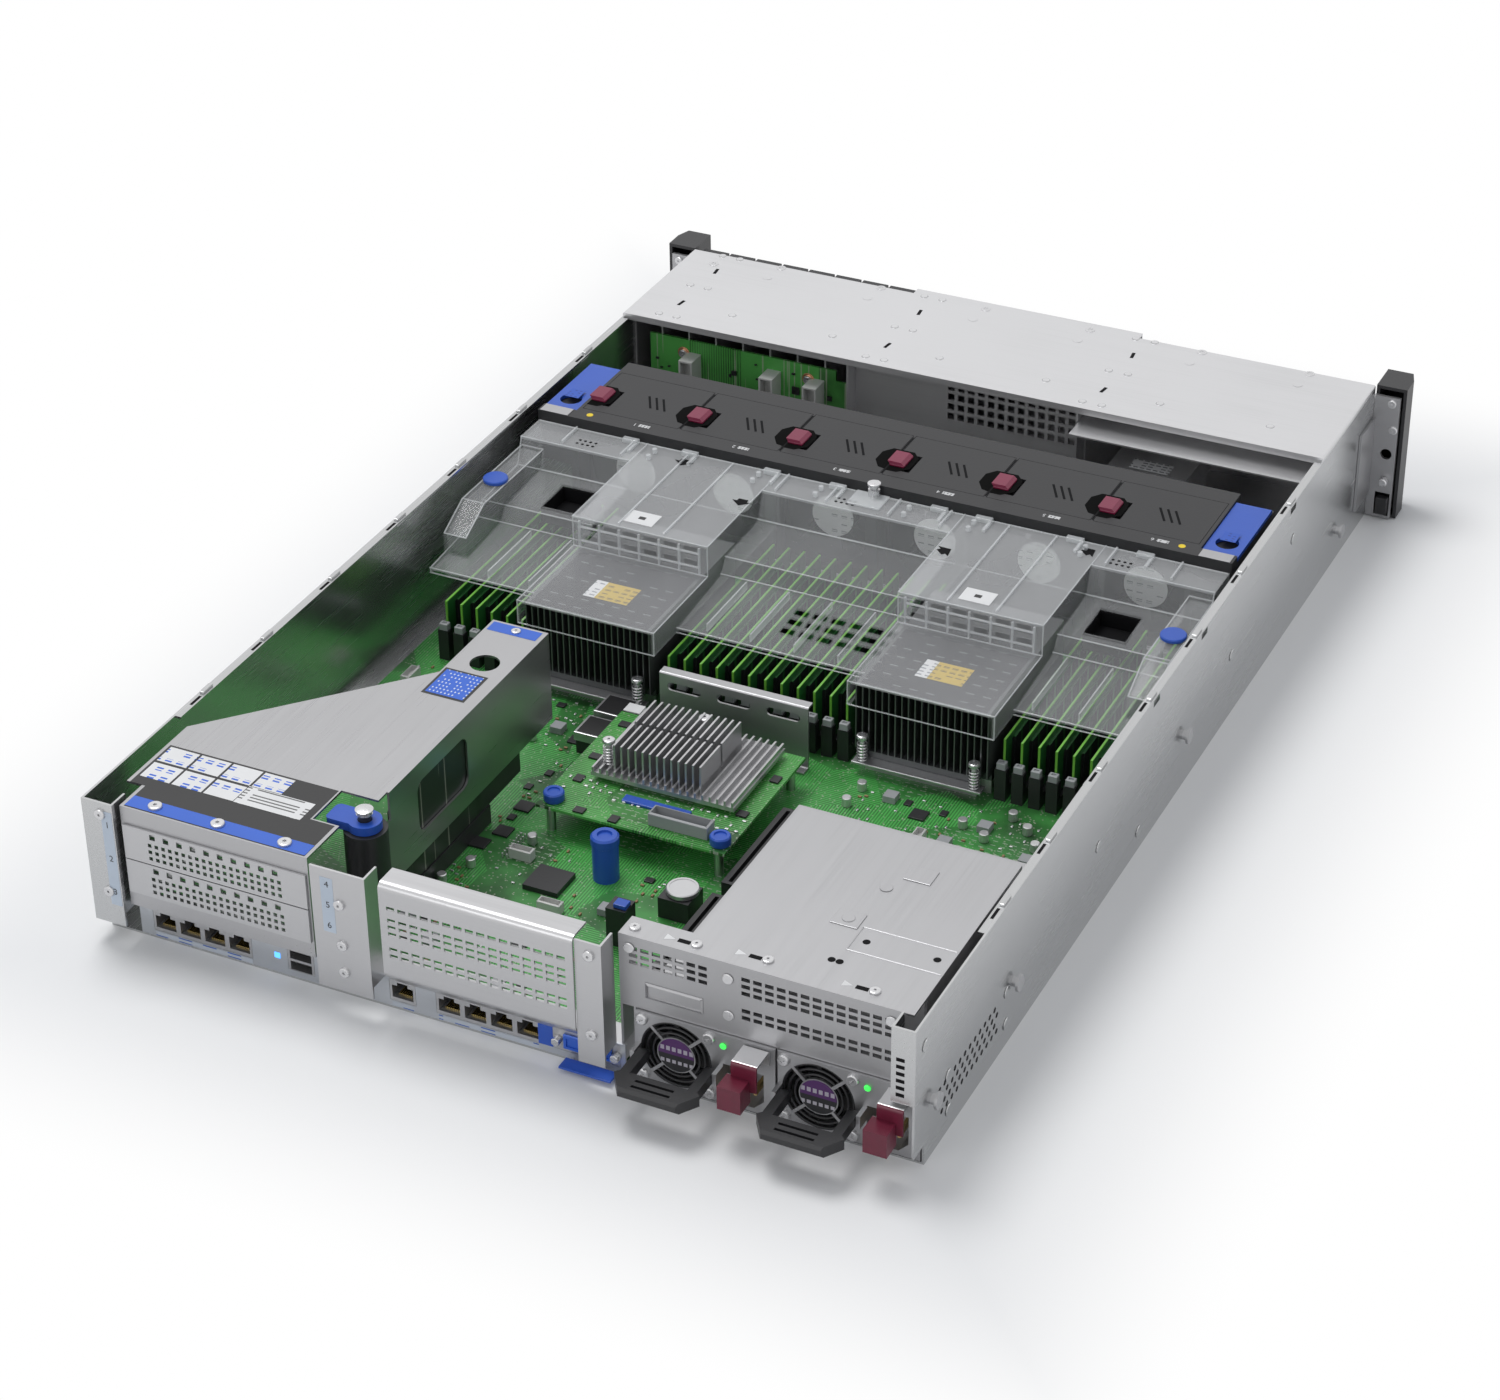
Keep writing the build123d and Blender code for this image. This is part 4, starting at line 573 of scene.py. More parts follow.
def slab(x_range, y_range, z_range, soft=0.2):
    """A block between two values along each axis, with its edges softened."""
    start()
    ranges = (x_range, y_range, z_range)
    bpy.ops.mesh.primitive_cube_add(size=1, location=at(*[(pair[0] + pair[1]) / 2 for pair in ranges]))
    piece = bpy.context.object
    piece.scale = at(*[abs(pair[1] - pair[0]) for pair in ranges])
    settled()
    return bevelled(piece, soft) if soft else piece


def around(centre, size):
    return (centre - size / 2, centre + size / 2)


def bar(radius, length, centre, axis="Z", corners=24, soft=0.2):
    """A round bar along an axis."""
    start()
    bpy.ops.mesh.primitive_cylinder_add(
        vertices=corners, radius=radius * mm, depth=length * mm,
        location=at(*centre), rotation=axis_turns[axis],
    )
    piece = settled()
    return bevelled(piece, soft, 1) if soft else piece


def dot(radius, height, corners=20):
    """A flat round mark that lies on the origin."""
    return bar(radius, height, (0, 0, height / 2), corners=corners, soft=0)


def ring(radius, wire, centre=(0, 0, 0), axis="Z", corners=24, wire_corners=6):
    """A ring of round wire about an axis."""
    start()
    bpy.ops.mesh.primitive_torus_add(
        location=at(*centre), rotation=axis_turns[axis], major_segments=corners,
        minor_segments=wire_corners, major_radius=radius * mm, minor_radius=wire * mm,
    )
    return settled()


def rods(radius, *corners):
    """Round rods from corner to corner."""
    made = []
    for first, second in zip(corners, corners[1:]):
        start()
        low, high = at(*first), at(*second)
        turn = (high - low).to_track_quat("Z", "Y").to_euler()
        bpy.ops.mesh.primitive_cylinder_add(
            vertices=10, radius=radius * mm, depth=(high - low).length,
            location=(low + high) / 2, rotation=turn,
        )
        made.append(settled())
    return made


# %% Copies, and pieces that are ready to ride
def joined(parts):
    start()
    for part in parts:
        part.select_set(True)
    bpy.context.view_layer.objects.active = parts[0]
    if len(parts) > 1:
        bpy.ops.object.join()
    return bpy.context.object


def spread(model, places, turns=(0.0,)):
    """Copy a model made at the origin to each place, then join the copies into one piece."""
    copies = []
    for count, place in enumerate(places):
        twin = bpy.data.objects.new(model.name, model.data.copy())
        bpy.context.collection.objects.link(twin)
        turn = Matrix.Rotation(turns[count % len(turns)], 4, "Z")
        twin.data.transform(Matrix.Translation(at(*place)) @ turn)
        copies.append(twin)
    bpy.data.objects.remove(model)
    return joined(copies)


def dealt(name, finish, model, places, body="chassis", turns=(0.0,)):
    """One piece made of copies of a model."""
    return carried(spread(model, places, turns), name, finish, body)


def grouped(name, finish, parts, body="chassis"):
    """One piece made of several parts."""
    return carried(joined(parts), name, finish, body)


def block(name, finish, x_range, y_range, z_range, soft=0.2, body="chassis"):
    """One piece made of a softened block."""
    return carried(slab(x_range, y_range, z_range, soft), name, finish, body)


# %% [markdown]
# ## Screws and rivets
# Real screw heads are what gives sheet metal its scale.  A pan head starts as a short cylinder:
# the top edge is rounded, the top face is inset, and alternate corners of the inner ring are
# drawn in before it is pushed down, which leaves the star-shaped socket of a driver bit.

# %% A screw head
facing_rear = Matrix.Rotation(-math.pi / 2, 4, "X")
head_corners = 24


def screw(radius, height, socket=0.5, points=12, draw=0.68, depth=0.6):
    """A pan-head screw at the origin with its underside on the sheet."""
    start()
    bpy.ops.mesh.primitive_cylinder_add(vertices=head_corners, radius=radius * mm, depth=height * mm)
    head = bpy.context.object
    head.location = at(0, 0, height / 2)
    settled()
    mode("EDIT")
    picked(up)
    bpy.ops.mesh.bevel(offset=height * 0.4 * mm, segments=2, affect="EDGES")
    mode("OBJECT")
    sunk(head, up, radius * (1 - socket), height * depth, squareness=0.99)
    step = head_corners // points
    floor_z = height * (1 - depth) * mm
    for vertex in head.data.vertices:
        spot = vertex.co
        in_socket = math.hypot(spot.x, spot.y) < radius * (socket + 0.12) * mm and spot.z > floor_z * 0.9
        place = round(math.degrees(math.atan2(spot.y, spot.x)) / (360 / head_corners))
        if in_socket and place % (2 * step) >= step:
            spot.x *= draw
            spot.y *= draw
    return head


def rivet(radius, height):
    """A flat disc that the sheet's own metal is pushed up into."""
    return bar(radius, height, (0, 0, height / 2), soft=height * 0.45)


def rear_facing(model):
    """Turn a model so that its top looks to the rear."""
    model.data.transform(facing_rear)
    return model


# %% [markdown]
# ## Labels
# A label is a thin film with soft edges, so it is a low block rather than a drawing on the
# sheet.  What is printed on it comes from its finish: rows and columns of plain patches, some of
# them left out by chance.  No words are copied from the real ones.

# %% A printed film
film_thickness = 0.12
label_grey = (0.80, 0.80, 0.80)


def printed(name, paper, ink, cell, fill, seed=0.0, roughness=0.5, lines=0.0, down="Y"):
    """Paper with a grid of printed patches; cell is in millimetres and fill a share of it."""
    label = Finish(name, paper, roughness)
    columns = label.axis("X") * (1000.0 / cell[0]) + seed
    rows = label.axis(down) * (1000.0 / cell[1]) + seed * 0.37
    patch = columns.fraction().within(0.5 - fill[0] / 2, 0.5 + fill[0] / 2)
    patch = patch * rows.fraction().within(0.5 - fill[1] / 2, 0.5 + fill[1] / 2)
    tile = label.add("ShaderNodeCombineXYZ", None, {0: columns.whole(), 1: rows.whole(), 2: seed})
    luck = label.add("ShaderNodeTexWhiteNoise", {"noise_dimensions": "3D"}, {"Vector": tile})
    marks = patch * (luck > 0.22)
    if lines:
        marks = marks * ((label.axis(down) * (1000.0 / lines)).fraction() > 0.45)
    wear = label.noise(40.0)
    sheet = label.mix(wear, tinted(paper, 0.92), tinted(paper, 1.05))
    label.feed("Base Color", label.mix(marks, sheet, ink))
    label.feed("Roughness", wear * 0.1 + (roughness - 0.05))
    return label.material


label_white = printed("label_white", label_grey, (0.30, 0.31, 0.33), (5.0, 3.2), (0.6, 0.35))


def film(name, finish, x_range, y_range, z):
    """A printed film lying on a sheet that faces up."""
    return block(name, finish, x_range, y_range, (z, z + film_thickness), 0.04)


# %% A flat sheet of any outline
def plate(outline, low=0.0, thickness=film_thickness):
    """A filled circle whose corners are moved to the outline, then extruded up."""
    start()
    bpy.ops.mesh.primitive_circle_add(vertices=len(outline), radius=0.01, fill_type="NGON")
    piece = bpy.context.object
    for vertex, (x, y) in zip(piece.data.vertices, outline):
        vertex.co = at(x, y, low)
    mode("EDIT")
    bpy.ops.mesh.select_all(action="SELECT")
    bpy.ops.mesh.extrude_region_move(TRANSFORM_OT_translate={"value": at(0, 0, thickness)})
    turned_out()
    return piece


# %% [markdown]
# ## The roof over the drives
# The flat rivets of the roof are part of the CAD sheet and get a thin ring of darker, glossier
# steel here: painted shade round each rivet's edge.  Between them lie short slots, and over the
# edges of each bay a screw with a flat disc behind it.

# %% Roof screws, discs and slots
roof_top = 87.0
bay_x = (161, 93, 23, -45, -116, -183)
bay_edge_x = (196, 58, -80)
roof_screw_places = [(x, -324, roof_top) for x in bay_x] + [(202, -312, roof_top)]
dealt("roof_screws", screw_steel, screw(3.0, 0.28, 0.55, depth=0.7), roof_screw_places)
dealt("roof_discs", roof_steel, rivet(3.0, 0.2), [(x + 2, -308, roof_top) for x in bay_x])

rivet_y = (-324.5, -279, -236)
rivet_places = [(x + gap, y, roof_top) for x in bay_edge_x for gap in (-6, 6) for y in rivet_y]
rivet_places += [(x, -252, roof_top) for x in (160, *bay_x[1:])]
# Painted shade: a ring of darker, glossier steel round each rivet's edge.
dealt("roof_rivet_painted_shade", tray_steel, ring(2.3, 0.22), rivet_places)

slot_model = slab((-1.0, 1.0), (-3.5, 3.5), (0, 0.06), 0)
roof_slot_places = [(x, y, roof_top) for x in bay_edge_x for y in (-303, -254.5)]
dealt("roof_slots", shadow_black, slot_model, roof_slot_places, turns=(0.12, -0.12))
print("roof fasteners:", len(roof_screw_places) + len(rivet_places))

# %% [markdown]
# ## The riser cage
# Its top plate is bare steel with a black instruction label behind, a blue touch pad by the
# finger hole, and a blue edge strip held by three screws.  The label's little drawings are kept
# plain: pale cells, each with a blue shape.

# %% Riser label and touch pads
riser_top = 83.0
on_label = riser_top + film_thickness
label_outline = [(98, 345), (201, 345), (201, 326), (210, 326), (210, 290), (112, 290), (112, 317), (98, 317)]
carried(plate(label_outline, riser_top), "riser_label", label_black, "riser")

drawing = printed("drawing", label_grey, press_blue, (6.5, 7.5), (0.6, 0.5), 0.3, lines=2.3)
cell_model = slab((-8.6, 8.6), (-6.6, 6.6), (0, 0.08), 0.02)
cell_x = [200 - 18.5 * count for count in range(4)]
cell_places = [(x, 298, on_label) for x in cell_x] + [(x, 313, on_label) for x in cell_x[:3]]
dealt("riser_label_cells", drawing, cell_model, cell_places, "riser")

cell_z = (on_label, on_label + 0.08)
note_cell = printed("note_cell", label_grey, (0.12, 0.12, 0.12), (30, 2.4), (0.9, 0.4))
block("riser_label_note", note_cell, (116, 154), (305, 320), cell_z, 0.02, "riser")
block("riser_blue_strip", signal_blue, (98, 201), (335.5, 344.5), cell_z, 0.02, "riser")
riser_screw_places = [(x, 340, cell_z[1]) for x in (186, 150, 112)]
dealt("riser_screws", screw_steel, screw(3.6, 1.6), riser_screw_places, "riser")

pad_z, pad_face_z = (riser_top, riser_top + 0.14), (riser_top + 0.14, riser_top + 0.24)
touch_pad = printed("touch_pad", press_blue, (0.65, 0.70, 0.80), (2.2, 3.0), (0.35, 0.4))
block("riser_touch_pad", label_black, (96, 121), (168, 194), pad_z, 0.05, "riser")
block("riser_touch_face", touch_pad, (97.5, 119.5), (169.5, 192.5), pad_face_z, 0.05, "riser")
block("riser_front_strip", signal_blue, (91.5, 120.5), (117.5, 126), pad_z, 0.05, "riser")
dealt("riser_front_screw", screw_steel, screw(2.6, 1.0), [(105, 122, pad_z[1])], "riser")


# %% [markdown]
# ## The half-turn latch
# A steel pin stands in a black housing.  A blue lever turns round it and swings under the plate.
# The pin gets a turned head with a groove, made by extruding a disc upwards and scaling it.

# %% Latch pin
def turned_pin(name, finish, profile, place, body="chassis"):
    """A turned part: a disc is extruded up and scaled, step by step."""
    start()
    bpy.ops.mesh.primitive_circle_add(vertices=32, radius=profile[0][0] * mm, fill_type="NGON")
    pin = bpy.context.object
    mode("EDIT")
    bpy.ops.mesh.select_all(action="SELECT")
    for (radius, height), (next_radius, next_height) in zip(profile, profile[1:]):
        bpy.ops.mesh.extrude_region_move(TRANSFORM_OT_translate={"value": at(0, 0, next_height - height)})
        bpy.ops.transform.resize(value=[next_radius / radius] * 2 + [1])
    turned_out()
    pin.data.transform(Matrix.Translation(at(*place)))
    pin.data.shade_smooth()
    bpy.ops.object.shade_smooth_by_angle(angle=0.6)
    return carried(pin, name, finish, body)


pin_profile = [(4.2, 0), (4.2, 0.4), (3.0, 0.8), (3.0, 1.6), (4.6, 2.0), (4.6, 2.6), (3.6, 3.0)]
turned_pin("latch_pin", screw_steel, pin_profile, (89.5, 303, 84.2), "riser")

# %% [markdown]
# ## The fan cage
# Six fans stand side by side under one black frame.  Each cap has three slanted air slots and a
# burgundy latch; a printed strip with plain numbers runs along the rear edge, and a small
# yellow dot stands at each end.

# %% Fan caps
fan_top = 83.6
fan_pitch = 63.5
fan_centres = {number: (3.5 - number) * fan_pitch for number in fan_numbers}
for number, fan_x in fan_centres.items():
    body = f"fan_module_{number}"
    middle = fan_x + 26.8
    seam_x = fan_x + fan_pitch / 2
    # Each cap's finger well is a near-black film on the cap top: painted shade of the recess.
    well = [(middle - 8, -125), (middle - 2, -119), (seam_x - 0.5, -119),
            (seam_x - 0.5, -144), (middle - 3, -144), (middle - 8, -138)]
    carried(plate(well, fan_top), f"fan_{number}_well", well_painted_shade, body)
    if number > 1:
        beyond_seam = ((0.5, -120), (5, -121), (9.5, -128), (9.5, -138), (5, -144), (0.5, -144))
        well_end = plate([(seam_x + reach, y) for reach, y in beyond_seam], fan_top)
        carried(well_end, f"fan_{number}_well_end", well_painted_shade, f"fan_module_{number - 1}")
    latch = slab(around(middle, 9.2), (-138.5, -124.5), (fan_top - 0.2, fan_top + 1.4), 0.5)
    mode("EDIT")
    picked(up, area=0.00005)
    bpy.ops.transform.translate(value=at(1.6, 0, 1.4))
    mode("OBJECT")
    carried(latch, f"fan_{number}_latch", burgundy_plastic, body)
    slash = slab((-0.7, 0.7), (-7.5, 7.5), (0, 0.12), 0.05)
    slash_places = [(fan_x - 6 + gap, -136, fan_top) for gap in (-4.6, 0, 4.6)]
    dealt(f"fan_{number}_slots", shadow_black, slash, slash_places, body, (0.5,))
print("fan caps:", len(fan_centres))

# %% Strip and marks on the fan cage
icon_ink = printed("icon_ink", (0.62, 0.62, 0.62), (0.06, 0.06, 0.062), (2.0, 1.6), (0.5, 0.5), 0.2)
icon_model = slab((-3.4, 3.4), (-1.5, 1.5), (0, 0.1), 0.02)
icon_places = [(x - 12, -108, fan_top) for x in fan_centres.values()]
dealt("fan_cage_icons", icon_ink, icon_model, icon_places, "fan_cage")
yellow = moulded("signal_yellow", (0.85, 0.62, 0.02), 0.5, 400.0)
marks = [bar(2.0, 0.2, (x, -107.5, fan_top), corners=20, soft=0.04) for x in (182, -182)]
grouped("fan_cage_marks", yellow, marks, "fan_cage")
corner_plates = [slab((side * 193.5, side * 211.5), (-109.3, -101.3), (83.6, 84.0), 0.1) for side in both]
grouped("fan_cage_corner_plates", cage_steel, corner_plates, "fan_cage")
seam_places = [(count * fan_pitch, -137.5, fan_top) for count in (-2, -1, 0, 1, 2)]
dealt("fan_cage_seams", shadow_black, slab((-0.5, 0.5), (-23, 23), (0, 0.08), 0), seam_places, "fan_cage")
lever_ink = printed("lever_ink", (0.022, 0.095, 0.50), (0.01, 0.03, 0.2), (3.0, 2.4), (0.5, 0.3), 0.7)
for name, side in sides.items():
    lever = f"fan_cage_lever_{name}"
    block(f"{lever}_mark", lever_ink, (side * 198, side * 207), (-133, -123), (83.5, 83.6), 0.02, lever)

# %% [markdown]
# ## Screws on the rear sheets
# The rear brackets and the power supply cage are held by star-socket screws that face the
# viewer, and by flat rivets.  They sit on the sheet that they hold, wherever that sheet faces.

# %% Rear screws
rear_face_y = 350.0
rear_screw_heights = {212: (78, 32), 77: (24, 40, 64), -58: (76, 30)}
bracket_screws = upright(rear_face_y, *[(x, z) for x, heights in rear_screw_heights.items() for z in heights])
dealt("rear_screws", screw_steel, rear_facing(screw(2.9, 1.5)), bracket_screws)

cage_face_y = 336.5
cage_rivets = upright(cage_face_y, (-123, 74), (-123, 53), (-205, 76), (-72, 76))
dealt("cage_rivets", screw_steel, rear_facing(rivet(2.9, 0.9)), cage_rivets)

cage_top = 83.0
top_screws = level(cage_top, (-104, 330), (-139, 327), (-193, 328), (-72, 330))
dealt("cage_top_screws", screw_steel, screw(2.8, 1.3), top_screws)
pad_corners = ((-7, -6), (7, -6), (7, 6), (-7, 6))
pads = [plate([(x + wide, y + deep) for wide, deep in pad_corners], cage_top, 0.5)
        for x, y in ((-159, 282), (-176, 236))]
carried(bevelled(joined(pads), 0.35), "cage_pads", cage_steel)
dealt("cage_dimples", cage_steel, rivet(3.2, 0.5), [(-165, 252, cage_top), (-159, 282, cage_top + 0.4)])

# %% [markdown]
# ## The power supplies
# The rear face of a supply carries a round fan guard with a two-tone disc in its middle, four
# cross-head screws, a green lamp, the mains inlet with three blades, and a steel clip whose
# finger tab is burgundy.  The guard rings are tori; they sit in the plane of the moulded guard.

# %% Finishes of the supply
disc_height = 0.0217
disc_black = (0.012, 0.012, 0.014)
disc_finish = Finish("guard_disc", disc_black, 0.35)
rise = disc_finish.axis("Z", disc_height)
dashes = (disc_finish.axis("X") * 330.0).fraction() > 0.35
pale = dashes * (rise.within(0.0020, 0.0045) + rise.within(-0.0050, -0.0030))
two_tone = disc_finish.mix(rise > 0.0, disc_black, (0.085, 0.02, 0.13))
disc_finish.feed("Base Color", disc_finish.mix(pale * 0.8, two_tone, (0.55, 0.52, 0.58)))
disc_finish.feed("Roughness", disc_finish.noise(60.0) * 0.15 + 0.28)

tab_start_y = 0.3521
clip_finish = Finish("clip_finish", (0.6, 0.6, 0.6), 0.3)
on_tab = clip_finish.axis("Y", tab_start_y) > 0.0
clip_grain = clip_finish.noise(300.0)
tab_colour = clip_finish.mix(clip_grain, (0.10, 0.004, 0.020), (0.15, 0.006, 0.030))
clip_finish.feed("Base Color", clip_finish.mix(on_tab, (0.66, 0.66, 0.67), tab_colour))
clip_finish.feed("Metallic", (1 - on_tab) * 0.9)
clip_finish.feed("Roughness", clip_grain * 0.1 + 0.28)
brass = rolled_sheet("brass", (0.70, 0.52, 0.22), 0.3, grainless, 0.06)


def lit_lamp(name, colour, dim, bright, strength):
    """A small lamp: its glow wanders between two colours."""
    lamp = Finish(name, colour, 0.3)
    lamp.feed("Emission Color", lamp.mix(lamp.noise(90.0), dim, bright))
    lamp.set("Emission Strength", strength)
    return lamp.material


green_lamp = lit_lamp("green_lamp", (0.05, 0.8, 0.1), (0.0, 0.5, 0.02), (0.1, 0.9, 0.15), 1.2)
blue_lamp = lit_lamp("blue_lamp", (0.05, 0.25, 0.9), (0.02, 0.25, 0.9), (0.15, 0.45, 1.0), 2.0)

# %% Face of a supply
guard_z = 21.7
for number, centre in ((1, -111.4), (2, -184.8)):
    body = f"psu_{number}"
    fan_x = centre + 15.4
    disc = bar(9.4, 0.3, (fan_x, 338.15, guard_z), "Y", 48, 0.1)
    carried(disc, f"{body}_disc", disc_finish.material, body)
    rings = [ring(radius, 0.65, (fan_x, 337.3, guard_z), "Y", 48, 8) for radius in (12.2, 15.2, 18.0)]
    grouped(f"{body}_guard_rings", black_plastic, rings, body)
    corners = [(fan_x + x, 338, guard_z + z) for x in (-17.5, 17.5) for z in (-16.2, 16.2)]
    dealt(f"{body}_screws", screw_steel, rear_facing(screw(3.1, 1.7, 0.62, 4, 0.3, 0.5)), corners, body)
    carried(bar(1.7, 1.2, (centre - 9.4, 338.5, 35.5), "Y", 24, 0.5), f"{body}_lamp", green_lamp, body)
    blades = [slab(around(centre - x, 1.8), (321, 335), around(z, 4.4), 0.3)
              for x, z in ((24, 11), (15, 11), (19.5, 16.5))]
    grouped(f"{body}_inlet_blades", brass, blades, body)
    dress(f"{body}_latch", clip_finish.material)

# %% [markdown]
# ## Heatsinks
# The top of each cooler is a printed grey sheet with a gold and white patch, and two sprung
# screws hold it down behind.  A spring is a stack of rings round the screw's shaft.

# %% Printed top of the coolers
print_grey, gold = (0.03, 0.03, 0.034), (0.62, 0.44, 0.05)
sink_grey = printed("sink_grey", print_grey, grey(0.20), (9.5, 9.0), (0.5, 0.25), 0.1, 0.42, 1.5)
gold_label = printed("gold_label", gold, (0.06, 0.05, 0.02), (5.0, 4.0), (0.7, 0.4), 0.2, 0.4, 1.2)
sink_top = 57.0
on_print = sink_top + film_thickness
patch_y = (18, 36)
coolers = ((1, 99.0), (2, -99.0))
for number, sink_x in coolers:
    film(f"cooler_{number}_print", sink_grey, around(sink_x, 72), (-5, 54), sink_top)
    film(f"cooler_{number}_gold", gold_label, (sink_x - 14, sink_x + 6), patch_y, on_print)
    film(f"cooler_{number}_white", label_white, (sink_x + 6, sink_x + 13), patch_y, on_print)


# %% Sprung screws
def sprung_screw(place, shaft, head, coil, wire, pitch, spring_z):
    """A screw with its head's underside at a place, and a spring of six rings round its shaft."""
    x, y, head_z = place
    coils = [ring(coil, wire, (x, y, spring_z + count * pitch), corners=20) for count in range(6)]
    return [bar(shaft, 14, (x, y, head_z - 7), soft=0), *coils, spread(screw(head, 2.0), [place])]


for number, sink_x in coolers:
    block(f"cooler_{number}_ledge", cage_steel, around(sink_x, 74), (56.2, 63.5), (11.5, 13), 0.3)
    parts = []
    for side in (-32, 32):
        parts += sprung_screw((sink_x + side, 60, 27), 1.5, 3.2, 2.7, 0.4, 1.9, 14)
    grouped(f"cooler_{number}_spring_screws", screw_steel, parts)

# %% [markdown]
# ## Memory latches
# At both ends of each memory socket stands a grey latch with a finger notch in its top.

# %% Latches
memory_pitch = 9.65
latch_model = sunk(slab((-2.6, 2.6), (-2.1, 2.1), (0, 4.4), 0.5), up, 0.8, 0.7, area=0.000005)
inner_bank = [(count - 5.5) * memory_pitch for count in range(12)]
outer_bank = [143.4 + count * memory_pitch for count in range(6)]
bank = inner_bank + outer_bank + [-x for x in outer_bank]
latch_places = [(x, y, 23.6) for x in bank for y in (51.8, -86.9)]
dealt("memory_latches", grey_plastic, latch_model, latch_places)
print("memory latches:", len(latch_places))

# %% [markdown]
# ## On the storage controller and the board
# Thumbscrews are turned knobs with a dished top, coils and capacitors are little turned cans,
# and the rest of the population is chips.  Each kind is modelled once and dealt out over the
# free areas of the board, from a seeded list so that the board looks the same every time.

# %% Thumbscrews and posts
board_top = 5.0
controller_top = 22.6
knob_profile = [(5.2, 0), (5.6, 0.6), (5.6, 4.6), (5.0, 5.4), (3.4, 5.4), (3.2, 4.6), (0.4, 4.6)]
turned_pin("thumbscrew_right", blue_plastic, knob_profile, (57, 174, controller_top))
turned_pin("thumbscrew_left", blue_plastic, knob_profile, (-39, 174, controller_top))
post_profile = [(6.9, 0), (6.9, 21), (7.4, 21.4), (7.4, 25.6),
                (6.4, 26.6), (4.0, 26.6), (3.6, 25.4), (0.4, 25.4)]
turned_pin("lift_post_sleeve", blue_plastic, post_profile, (12, 203, board_top))

parts = []
for x, y in ((42, 140), (6, 100)):
    parts += sprung_screw((x, y, 42), 1.6, 3.4, 3.0, 0.45, 1.8, 30)
grouped("controller_spring_screws", screw_steel, parts)

block("controller_blue_edge", blue_plastic, (-14, 24), (156, 162), (controller_top, 24.2), 0.4)
grey_socket = sunk(slab((-32, 2), (166, 175), (controller_top, 30), 0.4), up, 1.2, 5)
carried(grey_socket, "controller_socket", grey_plastic)

# %% Free places on the board
slot_x = -54
free_areas = [((-58, 84), (190, 318)), ((-205, -70), (68, 138)),
              ((72, 205), (62, 110)), ((76, 88), (120, 300))]
taken = [(36, 220, 14), (-20, 248, 9), (-36, 214, 12), (12, 203, 10),
         (57, 174, 9), (-54, 160, 46), (-54, 250, 50)]
chosen = []


def free_places(count, gap):
    """Places on the free areas of the board, each at least a gap from everything before it."""
    places = []
    for _ in range(count * 40):
        if len(places) == count:
            break
        span_x, span_y = free_areas[chance.randrange(len(free_areas))]
        x, y = chance.uniform(*span_x), chance.uniform(*span_y)
        apart = all(math.hypot(x - px, y - py) > gap + reach for px, py, reach in taken + chosen)
        if apart and abs(x - slot_x) >= 6 + gap:
            places.append((x, y, board_top))
            chosen.append((x, y, gap))
    return places


# %% Chips, cans and small parts
def chip(width, length, height):
    return slab(around(0, width), around(0, length), (0, height), 0.15)


quarter = (0.0, math.pi / 2)
solder = rolled_sheet("solder", grey(0.55), 0.35, grainless, 0.08)
tan_ceramic = moulded("tan_ceramic", (0.32, 0.20, 0.10), 0.5, 300.0)
connector = sunk(slab((-2.8, 2.8), (-6.5, 6.5), (0, 6), 0.3), up, 0.9, 3)
can = bar(2.6, 5.5, (0, 0, 2.75), soft=0.4)
population = (
    ("board_connectors", ivory_plastic, connector, 7, 8),
    ("board_chips_large", black_plastic, chip(9, 9, 1.2), 9, 7),
    ("board_chips_small", black_plastic, chip(5, 4, 1.0), 22, 4),
    ("board_coils", grey_plastic, chip(7, 7, 4.0), 12, 5),
    ("board_cans", solder, can, 16, 4),
    ("board_small_parts", solder, chip(1.8, 1.0, 0.7), 150, 1.6),
)
for name, finish, model, count, gap in population:
    dealt(name, finish, model, free_places(count, gap), turns=quarter)
pin_places = [(66 + x * 2.5, 190 + y * 2.5, board_top) for x in range(2) for y in range(9)]
dealt("board_pins", solder, dot(0.5, 3.0, 6), pin_places)

# %% Small parts on the controller, and the last ones on the board
controller_spots = [(x, y) for x in range(-42, 62, 5) for y in range(152, 166, 5)]
chance.shuffle(controller_spots)
tiny = [(x + chance.uniform(-1, 1), y + chance.uniform(-1, 1), controller_top)
        for x, y in controller_spots[:34]]
dealt("controller_small_parts", solder, chip(2.0, 1.2, 0.8), tiny, turns=quarter)
larger = level(controller_top, (-38, 146), (54, 152), (56, 130), (-40, 110), (40, 178), (20, 178), (56, 96))
dealt("controller_chips", black_plastic, chip(6, 5, 1.1), larger, turns=quarter)
dealt("board_ceramics", tan_ceramic, chip(1.2, 2.0, 0.9), free_places(110, 1.5), turns=quarter)
print("board places taken:", len(chosen))

# %% Coin cell, and the blue tab of the module beside it
coin_steel = rolled_sheet("coin_steel", grey(0.50), 0.34, (3, 3, 3), 0.05)
coin = sunk(bar(8.6, 3.2, (-37, 213, board_top + 13.6), corners=48, soft=0.5), up, 1.2, 0.25, area=0.0001)
carried(coin, "coin_cell", coin_steel)
block("module_blue_tab", blue_plastic, (-25, -18), (246, 252), (27, 29.5), 0.4)

# %% [markdown]
# ## The rear sockets
# Each network jack shows gilt contacts in its floor, the USB sockets have a dark tongue, the
# display socket is blue between two hexagonal posts, and a small blue lamp glows beside them.

